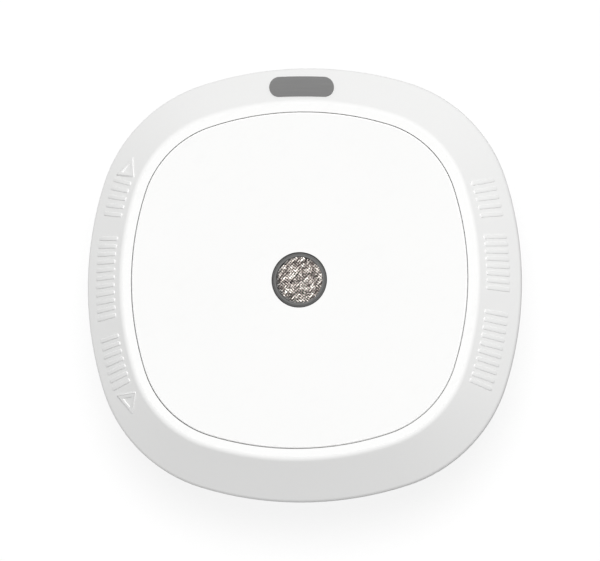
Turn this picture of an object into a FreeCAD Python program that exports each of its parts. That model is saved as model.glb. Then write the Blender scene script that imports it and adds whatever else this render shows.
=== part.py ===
import FreeCAD, Part
import Sketcher
import math
import os
import re

# Wireless smoke detector with its ceiling base, lying on the base with the face up.
# Millimetres. The origin is the centre of the base's ceiling face, +Z comes out of the face,
# and +Y is the top of the face as it is seen from the room.

os.makedirs("parts", exist_ok=True)
doc = FreeCAD.newDocument("smoke_detector")

sizes = {
    # Rounded square outline of the front cover, at its widest
    "half_width": 57.5,
    "side_radius": 91.1,
    "corner_radius": 39.5,
    # Front cover: lip, sloping band, rim, skirt and the ledge under the plate
    "lip_inset": 12.93,
    "lip_width": 2.1,
    "lip_round": 1.6,
    "slope_angle": 46.6,
    "rim_round": 1.8,
    "rim_flat": 1.0,
    "skirt_depth": 4.4,
    "skirt_inset": 1.3,
    "cover_wall": 2.0,
    "ledge_inset": 20.0,
    "ledge_depth": 4.3,
    "ledge_thickness": 1.6,
    # Front plate, which is the test button
    "seam_gap": 0.2,
    "plate_rise": 0.2,
    "plate_thickness": 1.8,
    "plate_clearance": 0.5,
    "plate_edge_wall": 1.6,
    "plate_round": 0.45,
    "button_travel": 0.5,
    "hook_wall": 2.0,
    "hook_width": 6.0,
    "hook_nose": 1.7,
    "hook_nose_height": 1.8,
    "hook_lead": 0.6,
    "post_radius": 1.5,
    "plate_rib_count": 8,
    "plate_rib_width": 1.0,
    "plate_rib_depth": 1.2,
    # Return springs, bent from strip
    "leaf_width": 3.6,
    "leaf_length": 16.0,
    "leaf_foot": 1.6,
    "leaf_crown": 4.0,
    "leaf_strip": 0.3,
    "leaf_margin": 0.4,
    # Rear housing
    "back_inset": 6.5,
    "tongue_height": 3.0,
    "tongue_wall": 1.2,
    "joint_gap": 0.3,
    "shoulder_thickness": 2.0,
    "floor_height": 5.2,
    "floor_thickness": 2.0,
    "spigot_inset": 13.5,
    "spigot_wall": 2.0,
    "vent_width": 3.4,
    "vent_pitch": 7.6,
    "vents_per_side": 9,
    "vent_start": 3.4,
    "vent_length": 9.0,
    # Bayonet
    "twist_angle": 18.0,
    "lug_reach": 2.9,
    "lug_angle": 16.0,
    "lug_rise": 0.2,
    "lug_thickness": 2.0,
    "bayonet_clearance": 0.3,
    "ring_clearance": 0.7,
    "bayonet_hook": 2.0,
    "hook_overlap": 1.0,
    "stop_clearance": 0.4,
    "stop_angle": 2.2,
    # Mounting base
    "base_thickness": 2.4,
    "ring_wall": 2.2,
    "slot_spacing": 60.0,
    "slot_length": 9.0,
    "slot_width": 4.5,
    "round_hole": 4.2,
    "rib_count": 8,
    "rib_width": 1.2,
    "rib_height": 0.8,
    # Battery cells and their bays
    "cell_diameter": 16.8,
    "cell_length": 34.2,
    "cell_nub_radius": 3.2,
    "cell_nub_height": 1.2,
    "bay_clearance": 0.3,
    "bay_rib": 1.2,
    "bay_wall": 1.5,
    "contact_space": 3.2,
    "contact_strip": 0.4,
    "cell_edge": 0.5,
    # Main board
    "board_margin": 5.5,
    "board_thickness": 1.6,
    "board_gap": 0.3,
    "board_edge": 2.2,
    "housing_screw_inset": 9.95,
    "boss_radius": 2.6,
    "screw_radius": 1.0,
    "screw_head_radius": 2.0,
    "screw_head_height": 1.4,
    "board_screw_length": 6.0,
    "pilot_depth": 8.0,
    "screw_tip_gap": 2.0,
    "thread_clearance": 0.1,
    "shank_clearance": 0.15,
    "head_clearance": 0.2,
    # Smoke chamber
    "chamber_gap": 0.8,
    "chamber_height": 10.2,
    "chamber_clearance": 1.3,
    "chamber_floor": 1.4,
    "vane_count": 14,
    "vane_wall": 0.9,
    "vane_margin": 0.6,
    "vane_entry": 3.0,
    "vane_bend": 1.2,
    "vane_lap": 1.0,
    "vane_tail": 3.2,
    "lid_rim": 1.0,
    "lid_rim_depth": 0.8,
    "screen_wall": 0.3,
    "element_radius": 2.5,
    "element_length": 7.0,
    "element_place": 6.0,
    # Sounder
    "sounder_gap": 3.2,
    "sounder_clearance": 3.5,
    "sounder_wall": 1.4,
    "sound_port": 5.0,
    "sounder_disc_gap": 0.8,
    "sounder_disc_thickness": 0.6,
    # Sensor nose in the middle of the plate
    "nose_radius": 7.1,
    "nose_clearance": 0.25,
    "nose_wall": 1.4,
    "nose_flange": 8.8,
    "mesh_recess": 0.8,
    "mesh_thickness": 0.25,
    "mesh_seat": 0.4,
    "guide_radius": 1.4,
    "guide_place": 3.0,
    "led_length": 3.2,
    "led_width": 2.0,
    "led_height": 1.4,
    "bead_radius": 1.1,
    "lead_radius": 0.3,
    # Switches, radio and other parts on the board
    "switch_side": 6.2,
    "switch_height": 3.6,
    "cap_radius": 1.75,
    "cap_height": 1.7,
    "cap_clearance": 0.2,
    "test_switch_inset": 17.2,
    "tamper_inset": 8.0,
    "tamper_travel": 0.5,
    "plunger_radius": 1.5,
    "plunger_collar": 2.4,
    "plunger_end": 4.7,
    "guide_wall": 1.2,
    "ramp_width": 6.0,
    "radio_inset": 17.2,
    "radio_length": 18.0,
    "radio_depth": 13.0,
    "radio_board": 0.8,
    "radio_shield": 2.2,
    "radio_margin": 1.0,
    "antenna_inset": 6.2,
    "antenna_radius": 0.5,
    "antenna_height": 3.0,
    "antenna_start": 240.0,
    "antenna_end": 300.0,
    "chip_place_x": 4.0,
    "chip_side": 8.0,
    "chip_height": 1.0,
    "capacitor_place_x": 8.0,
    "capacitor_place_y": 25.0,
    "capacitor_radius": 3.2,
    "capacitor_height": 7.0,
    "capacitor_edge": 0.4,
    # Gap between pieces that touch, and how far a cut or a root runs past a face
    "touch_gap": 0.1,
    "film_gap": 0.05,
    "overrun": 1.0,
}

sheet = doc.addObject("Spreadsheet::Sheet", "sizes")
for row, (alias, number) in enumerate(sizes.items(), start=1):
    sheet.set(f"A{row}", alias)
    sheet.set(f"B{row}", str(number))
    sheet.setAlias(f"B{row}", alias)
doc.recompute()

# Places and sizes that follow from the sheet, each one bound to it by an expression
layout = doc.addObject("App::VarSet", "layout")
derived = set()


def full(text):
    """Write each name in the text as its cell in the sheet or its value in the layout."""
    def place(match):
        word = match.group(0)
        if word in derived:
            return f"layout.{word}"
        return f"sizes.{word}" if word in sizes else word
    return re.sub(r"[a-z][a-z0-9_]*", place, text)


def derive(name, text):
    layout.addProperty("App::PropertyFloat", name)
    layout.setExpression(name, full(text))
    derived.add(name)
    doc.recompute()


def value(text):
    """Work out the text's number from the sheet and the layout."""
    return float(layout.evalExpression(full(text)))


# Rounded square: eight tangent arcs
derive("side_centre", "half_width - side_radius")
derive(
    "corner_centre",
    "side_centre / 2 + sqrt((side_radius - corner_radius)^2 / 2 - side_centre^2 / 4)",
)
derive("junction_angle", "atan2(corner_centre; corner_centre - side_centre)")
derive("corner_reach", "corner_centre * sqrt(2) + corner_radius")

# Stack from the ceiling up to the front
derive("floor_top", "floor_height + floor_thickness")
derive("cell_centre_height", "floor_height + bay_clearance + cell_diameter / 2")
derive("bay_top", "cell_centre_height + cell_diameter / 2 + bay_clearance")
derive("board_under", "bay_top + bay_wall + board_gap")
derive("board_top", "board_under + board_thickness")
derive("ledge_under", "board_top + chamber_height + chamber_clearance")
derive("ledge_top", "ledge_under + ledge_thickness")
derive("front_height", "ledge_top + ledge_depth")
derive("sounder_height", "ledge_under - board_top - sounder_clearance")

# Front cover
derive("lip_start", "half_width - lip_inset")
derive("slope_start", "lip_start + lip_width + lip_round * sin(slope_angle)")
derive("slope_top", "front_height - lip_round * (1 - cos(slope_angle))")
derive("slope_end", "half_width - rim_round * (1 - sin(slope_angle))")
derive("slope_foot", "slope_top - (slope_end - slope_start) * tan(slope_angle)")
derive("rim_height", "slope_foot - rim_round * cos(slope_angle)")
derive("skirt_height", "rim_height - rim_flat - skirt_depth")
derive("inner_wall", "half_width - cover_wall")
derive(
    "inner_foot",
    "slope_foot + (slope_end - inner_wall) * tan(slope_angle) - cover_wall / cos(slope_angle)",
)

# Front plate
derive("plate_inset", "lip_inset + seam_gap")
derive("plate_top", "front_height + plate_rise")
derive("plate_under", "plate_top - plate_thickness")
derive("plate_edge", "ledge_top + button_travel + plate_clearance")
derive("plate_edge_depth", "plate_top - plate_edge")

# Bayonet: the lugs of the spigot pass under the hooks of the base's ring
derive("spigot_radius", "half_width - spigot_inset")
derive("lug_under", "floor_height + lug_rise")
derive("lug_top", "lug_under + lug_thickness")
derive("hook_under", "lug_top + bayonet_clearance")
derive("hook_top", "hook_under + bayonet_hook")
derive("ring_top", "hook_top + ring_clearance + bayonet_clearance")
derive("shoulder_under", "ring_top + bayonet_clearance")
derive("shoulder_top", "shoulder_under + shoulder_thickness")
derive("ring_inner", "spigot_radius + lug_reach + ring_clearance")
derive("base_radius", "ring_inner + ring_wall")
derive("hook_inner", "spigot_radius + 2 * bayonet_clearance")
derive("shoulder_radius", "ring_inner + bayonet_clearance")

# Rear housing's wall
derive("wall_top", "skirt_height - joint_gap")
derive("wall_top_inset", "skirt_inset + joint_gap")
derive("tongue_inset", "skirt_inset + cover_wall + joint_gap")
derive("tongue_inner", "tongue_inset + tongue_wall")
derive("wall_lean", "(back_inset - wall_top_inset) / (wall_top - shoulder_under)")
derive("tongue_root", "wall_top - joint_gap - tongue_wall")
derive("wall_foot_inset", "tongue_inner + (tongue_root - shoulder_top) * wall_lean")

# Board and the circles of its screws and of those that hold the cover
derive("board_radius", "half_width - tongue_inner - board_margin")
derive("board_screw_circle", "board_radius - board_edge")
derive("housing_screw_circle", "corner_reach - housing_screw_inset")

# Places on the board: the chamber and the sounder fill the room beside the nose
derive("chamber_radius", "(board_radius - nose_flange - chamber_gap) / 2")
derive("chamber_place", "board_radius - chamber_radius")
derive("sounder_radius", "(board_radius - nose_flange) / 2 - sounder_gap")
derive("sounder_place", "(board_radius + nose_flange) / 2")
derive("sounder_disc_radius", "sounder_radius - sounder_wall - sounder_disc_gap")
derive("test_switch_place", "board_radius - test_switch_inset")
derive("tamper_place", "spigot_radius - tamper_inset")
derive("radio_place", "board_radius - radio_inset")
derive("antenna_circle", "board_radius - antenna_inset")
derive("chip_place_y", "(nose_flange + radio_place - radio_depth / 2) / 2")

# Battery bays
derive("bay_width", "cell_diameter + 2 * bay_clearance")
derive("cell_place", "bay_rib / 2 + bay_width / 2")
derive("bay_length", "cell_length + contact_space + contact_strip + bay_clearance")
derive("bay_outer", "bay_rib / 2 + bay_width + bay_wall")

# Sensor nose and what stands in it
derive("nose_inner", "nose_radius - nose_wall")
derive("mesh_under", "plate_top - mesh_recess - mesh_thickness")
derive("mesh_radius", "nose_inner + mesh_seat")

# Tamper plunger on the ramp of the base
derive("ramp_slope", "tamper_travel / (tamper_place * twist_angle * pi / 180)")
derive("ramp_top", "plunger_end - touch_gap")

doc.recompute()


def origin_part(body, role):
    return next(item for item in body.Origin.OriginFeatures if item.Role == role)


def new_body(name, x="0", y="0", z="0"):
    body = doc.addObject("PartDesign::Body", name)
    body.Label = name
    body.setExpression("Placement.Base.x", full(x))
    body.setExpression("Placement.Base.y", full(y))
    body.setExpression("Placement.Base.z", full(z))
    return body


def new_sketch(body, name, plane, offset="0", turn=0):
    """Sketch on a plane of the body, moved along its normal and turned about its upright."""
    sketch = body.newObject("Sketcher::SketchObject", name)
    sketch.AttachmentSupport = [(origin_part(body, plane), "")]
    sketch.MapMode = "FlatFace"
    sketch.AttachmentOffset = FreeCAD.Placement(
        FreeCAD.Vector(0, 0, 0), FreeCAD.Rotation(FreeCAD.Vector(0, 1, 0), turn)
    )
    sketch.setExpression("AttachmentOffset.Base.z", full(offset))
    return sketch


def arc_between(start, end, radius):
    """Counter-clockwise arc of less than half a turn between two points."""
    middle_x = (start[0] + end[0]) / 2
    middle_y = (start[1] + end[1]) / 2
    step_x = end[0] - start[0]
    step_y = end[1] - start[1]
    chord = math.hypot(step_x, step_y)
    height = math.sqrt(max(radius**2 - chord**2 / 4, 0))
    centre_x = middle_x - step_y / chord * height
    centre_y = middle_y + step_x / chord * height
    circle = Part.Circle(FreeCAD.Vector(centre_x, centre_y, 0), FreeCAD.Vector(0, 0, 1), radius)
    first = math.atan2(start[1] - centre_y, start[0] - centre_x)
    last = math.atan2(end[1] - centre_y, end[0] - centre_x)
    return Part.ArcOfCircle(circle, first, last)


def draw_outline(sketch, corners):
    """Closed outline through the corners. A corner is x, y and, where an arc starts there,
    the arc's radius, which is written with "in " before it when the arc turns inward."""
    points = [(value(corner[0]), value(corner[1])) for corner in corners]
    ends = []
    for index, corner in enumerate(corners):
        start = points[index]
        end = points[(index + 1) % len(corners)]
        radius = corner[2] if len(corner) > 2 else ""
        if not radius:
            line = Part.LineSegment(FreeCAD.Vector(*start, 0), FreeCAD.Vector(*end, 0))
            ends.append((sketch.addGeometry(line), 1, 2))
        elif radius.startswith("in "):
            ends.append((sketch.addGeometry(arc_between(end, start, value(radius[3:]))), 2, 1))
        else:
            ends.append((sketch.addGeometry(arc_between(start, end, value(radius))), 1, 2))
    for index, corner in enumerate(corners):
        edge, first, last = ends[index]
        following, following_first, _ = ends[(index + 1) % len(corners)]
        joint = Sketcher.Constraint("Coincident", edge, last, following, following_first)
        sketch.addConstraint(joint)
        for kind, text, number in zip(("DistanceX", "DistanceY"), corner, points[index]):
            place = sketch.addConstraint(Sketcher.Constraint(kind, -1, 1, edge, first, number))
            sketch.setExpression(f"Constraints[{place}]", full(text))
        if len(corner) > 2 and corner[2]:
            text = corner[2].replace("in ", "")
            place = sketch.addConstraint(Sketcher.Constraint("Radius", edge, value(text)))
            sketch.setExpression(f"Constraints[{place}]", full(text))


def draw_circle(sketch, x, y, radius):
    centre = FreeCAD.Vector(value(x), value(y), 0)
    edge = sketch.addGeometry(Part.Circle(centre, FreeCAD.Vector(0, 0, 1), value(radius)))
    for kind, text in (("DistanceX", x), ("DistanceY", y)):
        place = sketch.addConstraint(Sketcher.Constraint(kind, -1, 1, edge, 3, value(text)))
        sketch.setExpression(f"Constraints[{place}]", full(text))
    place = sketch.addConstraint(Sketcher.Constraint("Radius", edge, value(radius)))
    sketch.setExpression(f"Constraints[{place}]", full(radius))


def draw_box(sketch, left, bottom, right, top):
    draw_outline(sketch, [(left, bottom), (right, bottom), (right, top), (left, top)])


def draw_sector(sketch, inner, outer, first, last):
    """Part of a ring between two radii and two angles."""
    draw_outline(
        sketch,
        [
            (f"({outer}) * cos({first})", f"({outer}) * sin({first})", outer),
            (f"({outer}) * cos({last})", f"({outer}) * sin({last})"),
            (f"({inner}) * cos({last})", f"({inner}) * sin({last})", f"in {inner}"),
            (f"({inner}) * cos({first})", f"({inner}) * sin({first})"),
        ],
    )


def draw_squircle(sketch, inset):
    """Rounded square, drawn in from the front cover's widest outline."""
    side = f"(side_radius - {inset})"
    corner = f"(corner_radius - {inset})"
    far = f"(side_centre + {side} * cos(junction_angle))"
    near = f"({side} * sin(junction_angle))"
    draw_outline(
        sketch,
        [
            (f"half_width - {inset}", "0", side),
            (far, near, corner),
            (near, far, side),
            (f"-{near}", far, corner),
            (f"-{far}", near, side),
            (f"-{far}", f"-{near}", corner),
            (f"-{near}", f"-{far}", side),
            (near, f"-{far}", corner),
            (far, f"-{near}", side),
        ],
    )


def pad(body, sketch, length, name, both_ways=False):
    feature = body.newObject("PartDesign::Pad", name)
    feature.Profile = sketch
    feature.Midplane = both_ways
    feature.setExpression("Length", full(length))
    doc.recompute()
    return feature


def pocket(body, sketch, length, name, reverse=False, both_ways=False):
    """Cut the sketch out of the body, and make sure that it took material away."""
    before = body.Shape.Volume
    feature = body.newObject("PartDesign::Pocket", name)
    feature.Profile = sketch
    feature.Reversed = reverse
    feature.Midplane = both_ways
    feature.setExpression("Length", full(length))
    doc.recompute()
    if body.Shape.Volume >= before:
        raise RuntimeError(f"{body.Label}: {name} cuts nothing")
    return feature


def revolve(body, sketch, name):
    feature = body.newObject("PartDesign::Revolution", name)
    feature.Profile = sketch
    feature.ReferenceAxis = (sketch, ["V_Axis"])
    feature.Angle = 360
    doc.recompute()
    return feature


def repeat_round(body, feature, count, name):
    pattern = body.newObject("PartDesign::PolarPattern", name)
    pattern.Originals = [feature]
    pattern.Axis = (origin_part(body, "Z_Axis"), [""])
    pattern.Angle = 360
    pattern.Occurrences = count
    body.Tip = pattern
    doc.recompute()
    return pattern


def sweep_round(body, profile, name):
    """Sweep the profile, drawn on the XZ plane, once round the rounded square."""
    path = new_sketch(body, f"{name}_path", "XY_Plane")
    draw_squircle(path, "0")
    doc.recompute()
    sweep = body.newObject("PartDesign::AdditivePipe", name)
    sweep.Profile = profile
    sweep.Spine = (path, [f"Edge{number + 1}" for number in range(len(path.Shape.Edges))])
    doc.recompute()
    return sweep


def inset_point(inset, height):
    return (f"half_width - ({inset})", height)


def mounting_base():
    """Round dish on the ceiling, with the bayonet's hooks and stops inside its ring."""
    body = new_body("mounting_base")
    dish = new_sketch(body, "dish_profile", "XZ_Plane")
    draw_outline(
        dish,
        [
            ("0", "0"),
            ("base_radius", "0"),
            ("base_radius - bayonet_clearance", "ring_top"),
            ("ring_inner", "ring_top"),
            ("ring_inner", "base_thickness"),
            ("0", "base_thickness"),
        ],
    )
    revolve(body, dish, "dish")

    lug_side = "(45 - lug_angle / 2)"
    stop = f"({lug_side} - stop_clearance)"
    stop_back = f"{stop} - stop_clearance - stop_angle"
    root = "ring_inner + ring_wall / 4"
    hook_sketch = new_sketch(body, "hook_sketch", "XY_Plane", "hook_under")
    draw_sector(hook_sketch, "hook_inner", root, stop_back, "45 + lug_angle / 2 + hook_overlap")
    hook = pad(body, hook_sketch, "bayonet_hook", "hook")
    repeat_round(body, hook, 4, "hooks")
    stop_sketch = new_sketch(body, "stop_sketch", "XY_Plane", "base_thickness - rib_height")
    draw_sector(stop_sketch, "hook_inner", root, stop_back, stop)
    stop_pad = pad(body, stop_sketch, "hook_under - base_thickness + 2 * rib_height", "stop")
    repeat_round(body, stop_pad, 4, "stops")

    # Stiffening ribs on the dish's floor
    rib_turn = 180 / sizes["rib_count"]
    rib_sketch = new_sketch(body, "rib_sketch", "YZ_Plane", "slot_spacing / 4", turn=rib_turn)
    draw_box(
        rib_sketch,
        "-rib_width / 2",
        "base_thickness / 2",
        "rib_width / 2",
        "base_thickness + rib_height",
    )
    rib = pad(body, rib_sketch, "ring_inner + ring_wall / 4 - slot_spacing / 4", "rib")
    repeat_round(body, rib, sizes["rib_count"], "ribs")

    # Ramp that the tamper plunger rides down as the alarm is turned off the base
    ramp_sketch = new_sketch(body, "ramp_sketch", "XZ_Plane", "-tamper_place")
    ramp_run = "(tamper_place * sin(twist_angle) + 2 * plunger_radius)"
    draw_outline(
        ramp_sketch,
        [
            (f"-{ramp_run}", "base_thickness / 2"),
            ("2 * plunger_radius", "base_thickness / 2"),
            ("2 * plunger_radius", "ramp_top"),
            ("plunger_radius", "ramp_top"),
            (f"-{ramp_run}", f"ramp_top - ramp_slope * ({ramp_run} + plunger_radius)"),
        ],
    )
    pad(body, ramp_sketch, "ramp_width", "ramp", both_ways=True)

    # Slots for the ceiling screws on X, round holes on Y
    slots = new_sketch(body, "slot_sketch", "XY_Plane", "-base_thickness")
    for side in ("", "-"):
        near = f"{side}(slot_spacing / 2) - (slot_length - slot_width) / 2"
        far = f"{side}(slot_spacing / 2) + (slot_length - slot_width) / 2"
        radius = "slot_width / 2"
        draw_outline(
            slots,
            [
                (near, f"-{radius}"),
                (far, f"-{radius}", radius),
                (f"{far} + {radius}", "0", radius),
                (far, radius),
                (near, radius, radius),
                (f"{near} - {radius}", "0", radius),
            ],
        )
        draw_circle(slots, "0", f"{side}(slot_spacing / 2)", "round_hole / 2")
    pocket(body, slots, "3 * base_thickness", "screw_holes", reverse=True)
    return body


def rear_housing():
    """Back shell: vented wall, shoulder, spigot with lugs, battery bays and bosses."""
    body = new_body("rear_housing")
    wall = new_sketch(body, "wall_profile", "XZ_Plane")
    draw_outline(
        wall,
        [
            inset_point("wall_top_inset", "wall_top"),
            inset_point("tongue_inset", "wall_top"),
            inset_point("tongue_inset", "wall_top + tongue_height"),
            inset_point("tongue_inner", "wall_top + tongue_height"),
            inset_point("tongue_inner", "tongue_root"),
            inset_point("wall_foot_inset", "shoulder_top"),
            ("spigot_radius - bayonet_clearance", "shoulder_top"),
            ("spigot_radius - bayonet_clearance", "shoulder_under"),
            inset_point("back_inset", "shoulder_under"),
        ],
    )
    sweep_round(body, wall, "wall")

    spigot = new_sketch(body, "spigot_profile", "XZ_Plane")
    draw_outline(
        spigot,
        [
            ("0", "floor_height"),
            ("spigot_radius", "floor_height"),
            ("spigot_radius", "shoulder_under"),
            ("shoulder_radius", "shoulder_under"),
            ("shoulder_radius", "shoulder_top"),
            ("spigot_radius - spigot_wall", "shoulder_top"),
            ("spigot_radius - spigot_wall", "floor_top"),
            ("0", "floor_top"),
        ],
    )
    revolve(body, spigot, "spigot")

    lug_sketch = new_sketch(body, "lug_sketch", "XY_Plane", "lug_under")
    draw_sector(
        lug_sketch,
        "spigot_radius - spigot_wall / 2",
        "spigot_radius + lug_reach",
        "45 - lug_angle / 2",
        "45 + lug_angle / 2",
    )
    lug = pad(body, lug_sketch, "lug_thickness", "lug")
    repeat_round(body, lug, 4, "lugs")

    # Vents through the four sides
    vents = new_sketch(body, "vent_sketch", "YZ_Plane", "half_width - ledge_inset")
    foot = "(shoulder_top + vent_start)"
    for number in range(int(sizes["vents_per_side"])):
        middle = f"(vent_pitch * ({number} - (vents_per_side - 1) / 2))"
        draw_box(
            vents,
            f"{middle} - vent_width / 2",
            foot,
            f"{middle} + vent_width / 2",
            f"{foot} + vent_length",
        )
    vent = pocket(body, vents, "ledge_inset", "vent", reverse=True)
    repeat_round(body, vent, 4, "vents")

    # Block with the two battery bays, open towards the ceiling
    block = new_sketch(body, "bay_block_sketch", "XY_Plane", "floor_height + floor_thickness / 2")
    half_length = "(bay_length / 2 + bay_wall)"
    draw_box(block, "-bay_outer", f"-{half_length}", "bay_outer", half_length)
    pad(body, block, "bay_top + bay_wall - floor_height - floor_thickness / 2", "bay_block")
    bays = new_sketch(body, "bay_sketch", "XY_Plane", "floor_height")
    for side in ("", "-"):
        middle = f"{side}cell_place"
        draw_box(
            bays,
            f"{middle} - bay_width / 2",
            "-bay_length / 2",
            f"{middle} + bay_width / 2",
            "bay_length / 2",
        )
    pocket(body, bays, "bay_top - floor_height", "bays", reverse=True)

    # Guide of the tamper plunger
    guide_top = "(board_under - switch_height - cap_height - plunger_collar - 2 * tamper_travel)"
    tube = new_sketch(body, "guide_sketch", "XY_Plane", "floor_height + floor_thickness / 2")
    draw_circle(tube, "0", "tamper_place", "plunger_radius + cap_clearance + guide_wall")
    pad(body, tube, f"{guide_top} - floor_height - floor_thickness / 2", "guide")
    bore = new_sketch(body, "guide_bore_sketch", "XY_Plane", "floor_height - overrun")
    draw_circle(bore, "0", "tamper_place", "plunger_radius + cap_clearance")
    pocket(body, bore, "board_under - floor_height", "guide_bore", reverse=True)

    # Bosses under the board and through to the front cover
    board_boss = new_sketch(body, "board_boss_sketch", "XY_Plane", "shoulder_top - overrun")
    draw_circle(
        board_boss,
        "board_screw_circle * cos(45)",
        "board_screw_circle * sin(45)",
        "boss_radius",
    )
    boss = pad(body, board_boss, "board_under - shoulder_top + overrun", "board_boss")
    repeat_round(body, boss, 4, "board_bosses")
    cover_boss = new_sketch(body, "cover_boss_sketch", "XY_Plane", "shoulder_top - overrun")
    draw_circle(
        cover_boss,
        "housing_screw_circle * cos(45)",
        "housing_screw_circle * sin(45)",
        "boss_radius",
    )
    boss = pad(body, cover_boss, "wall_top - shoulder_top + overrun", "cover_boss")
    repeat_round(body, boss, 4, "cover_bosses")
    for name, circle, foot, length in (
        ("board_pilot", "board_screw_circle", "board_under - pilot_depth", "pilot_depth + overrun"),
        ("cover_bore", "housing_screw_circle", "shoulder_under - overrun", "wall_top"),
    ):
        hole = new_sketch(body, f"{name}_sketch", "XY_Plane", foot)
        draw_circle(hole, f"{circle} * cos(45)", f"{circle} * sin(45)", "screw_radius + thread_clearance")
        cut = pocket(body, hole, length, name, reverse=True)
        repeat_round(body, cut, 4, f"{name}s")
    seat = new_sketch(body, "screw_seat_sketch", "XY_Plane", "shoulder_under - overrun")
    draw_circle(
        seat,
        "housing_screw_circle * cos(45)",
        "housing_screw_circle * sin(45)",
        "screw_head_radius + head_clearance",
    )
    seat_depth = "screw_head_height + head_clearance + overrun"
    cut = pocket(body, seat, seat_depth, "screw_seat", reverse=True)
    repeat_round(body, cut, 4, "screw_seats")
    return body


def front_cover():
    """Rounded square bezel: lip, sloping band, rim, skirt and the ledge under the plate."""
    body = new_body("front_cover")
    section = new_sketch(body, "cover_profile", "XZ_Plane")
    draw_outline(
        section,
        [
            ("lip_start", "front_height"),
            ("lip_start", "ledge_top"),
            inset_point("ledge_inset", "ledge_top"),
            inset_point("ledge_inset", "ledge_under"),
            (
                "inner_wall - (ledge_under - inner_foot) / tan(slope_angle)",
                "ledge_under",
            ),
            ("inner_wall", "inner_foot"),
            inset_point("skirt_inset + cover_wall", "skirt_height"),
            inset_point("skirt_inset", "skirt_height"),
            ("half_width", "rim_height - rim_flat"),
            ("half_width", "rim_height", "rim_round"),
            ("slope_end", "slope_foot"),
            ("slope_start", "slope_top", "lip_round"),
            ("lip_start + lip_width", "front_height"),
        ],
    )
    sweep_round(body, section, "bezel")

    # Bosses that take the four screws from the rear housing
    sketch = new_sketch(body, "cover_boss_sketch", "XY_Plane", "skirt_height")
    x = "housing_screw_circle * cos(45)"
    y = "housing_screw_circle * sin(45)"
    draw_circle(sketch, x, y, "boss_radius")
    boss = pad(body, sketch, "ledge_under + cover_wall / 2 - skirt_height", "cover_boss")
    repeat_round(body, boss, 4, "cover_bosses")
    hole = new_sketch(body, "cover_pilot_sketch", "XY_Plane", "skirt_height - overrun")
    draw_circle(hole, x, y, "screw_radius + thread_clearance")
    cut = pocket(body, hole, "pilot_depth + overrun", "cover_pilot", reverse=True)
    repeat_round(body, cut, 4, "cover_pilots")
    return body


def front_plate():
    """Large flat plate inside the lip, with hooks under the ledge and a post for the switch."""
    body = new_body("front_plate", z="plate_edge")
    edge = new_sketch(body, "edge_profile", "XZ_Plane")
    outer = "(half_width - plate_inset)"
    inner = f"({outer} - plate_edge_wall)"
    under = "(plate_edge_depth - plate_thickness)"
    draw_outline(
        edge,
        [
            (outer, "0"),
            (outer, "plate_edge_depth - plate_round", "plate_round"),
            (f"{outer} - plate_round", "plate_edge_depth"),
            (f"{inner} - overrun", "plate_edge_depth"),
            (f"{inner} - overrun", under),
            (inner, under),
            (inner, "0"),
        ],
    )
    sweep_round(body, edge, "edge")
    web = new_sketch(body, "web_sketch", "XY_Plane", under)
    draw_squircle(web, "(plate_inset + plate_edge_wall)")
    pad(body, web, "plate_thickness", "web")

    # Collar round the sensor nose
    collar = new_sketch(body, "collar_sketch", "XY_Plane", "plate_edge_depth - 2 * plate_thickness")
    draw_circle(collar, "0", "0", "nose_radius + nose_clearance + plate_edge_wall")
    pad(body, collar, "1.5 * plate_thickness", "collar")
    bore = new_sketch(body, "collar_bore_sketch", "XY_Plane", "-plate_thickness")
    draw_circle(bore, "0", "0", "nose_radius + nose_clearance")
    pocket(body, bore, "2 * plate_edge_depth + plate_thickness", "collar_bore", reverse=True)

    # Hooks in the corners, their noses under the ledge
    reach = "(corner_reach - ledge_inset - joint_gap)"
    nose_top = "(ledge_under - plate_edge - touch_gap)"
    nose_foot = f"({nose_top} - hook_nose_height)"
    hook_sketch = new_sketch(body, "hook_sketch", "XZ_Plane", turn=45)
    draw_outline(
        hook_sketch,
        [
            (f"{reach} - hook_wall", "plate_edge_depth - plate_thickness / 2"),
            (f"{reach} - hook_wall", nose_foot),
            (reach, nose_foot),
            (f"{reach} + hook_nose", f"{nose_top} - hook_lead"),
            (f"{reach} + hook_nose", nose_top),
            (reach, nose_top),
            (reach, "plate_edge_depth - plate_thickness / 2"),
        ],
    )
    hook = pad(body, hook_sketch, "hook_width", "hook", both_ways=True)
    repeat_round(body, hook, 4, "hooks")

    # Post over the test switch
    post_foot = "(board_top + switch_height + cap_height + touch_gap - plate_edge)"
    post = new_sketch(body, "post_sketch", "XY_Plane", post_foot)
    draw_circle(post, "0", "test_switch_place", "post_radius")
    pad(body, post, f"plate_edge_depth - plate_thickness / 2 - {post_foot}", "post")

    # Stiffening ribs from the collar out to the edge
    rib_turn = 180 / sizes["plate_rib_count"]
    rib_start = "nose_radius + nose_clearance + plate_edge_wall / 2"
    rib_sketch = new_sketch(body, "rib_sketch", "YZ_Plane", rib_start, turn=rib_turn)
    draw_box(
        rib_sketch,
        "-plate_rib_width / 2",
        f"{under} - plate_rib_depth",
        "plate_rib_width / 2",
        f"{under} + plate_thickness / 2",
    )
    rib = pad(body, rib_sketch, f"{outer} - plate_edge_wall / 2 - ({rib_start})", "rib")
    repeat_round(body, rib, sizes["plate_rib_count"], "ribs")
    return body


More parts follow.
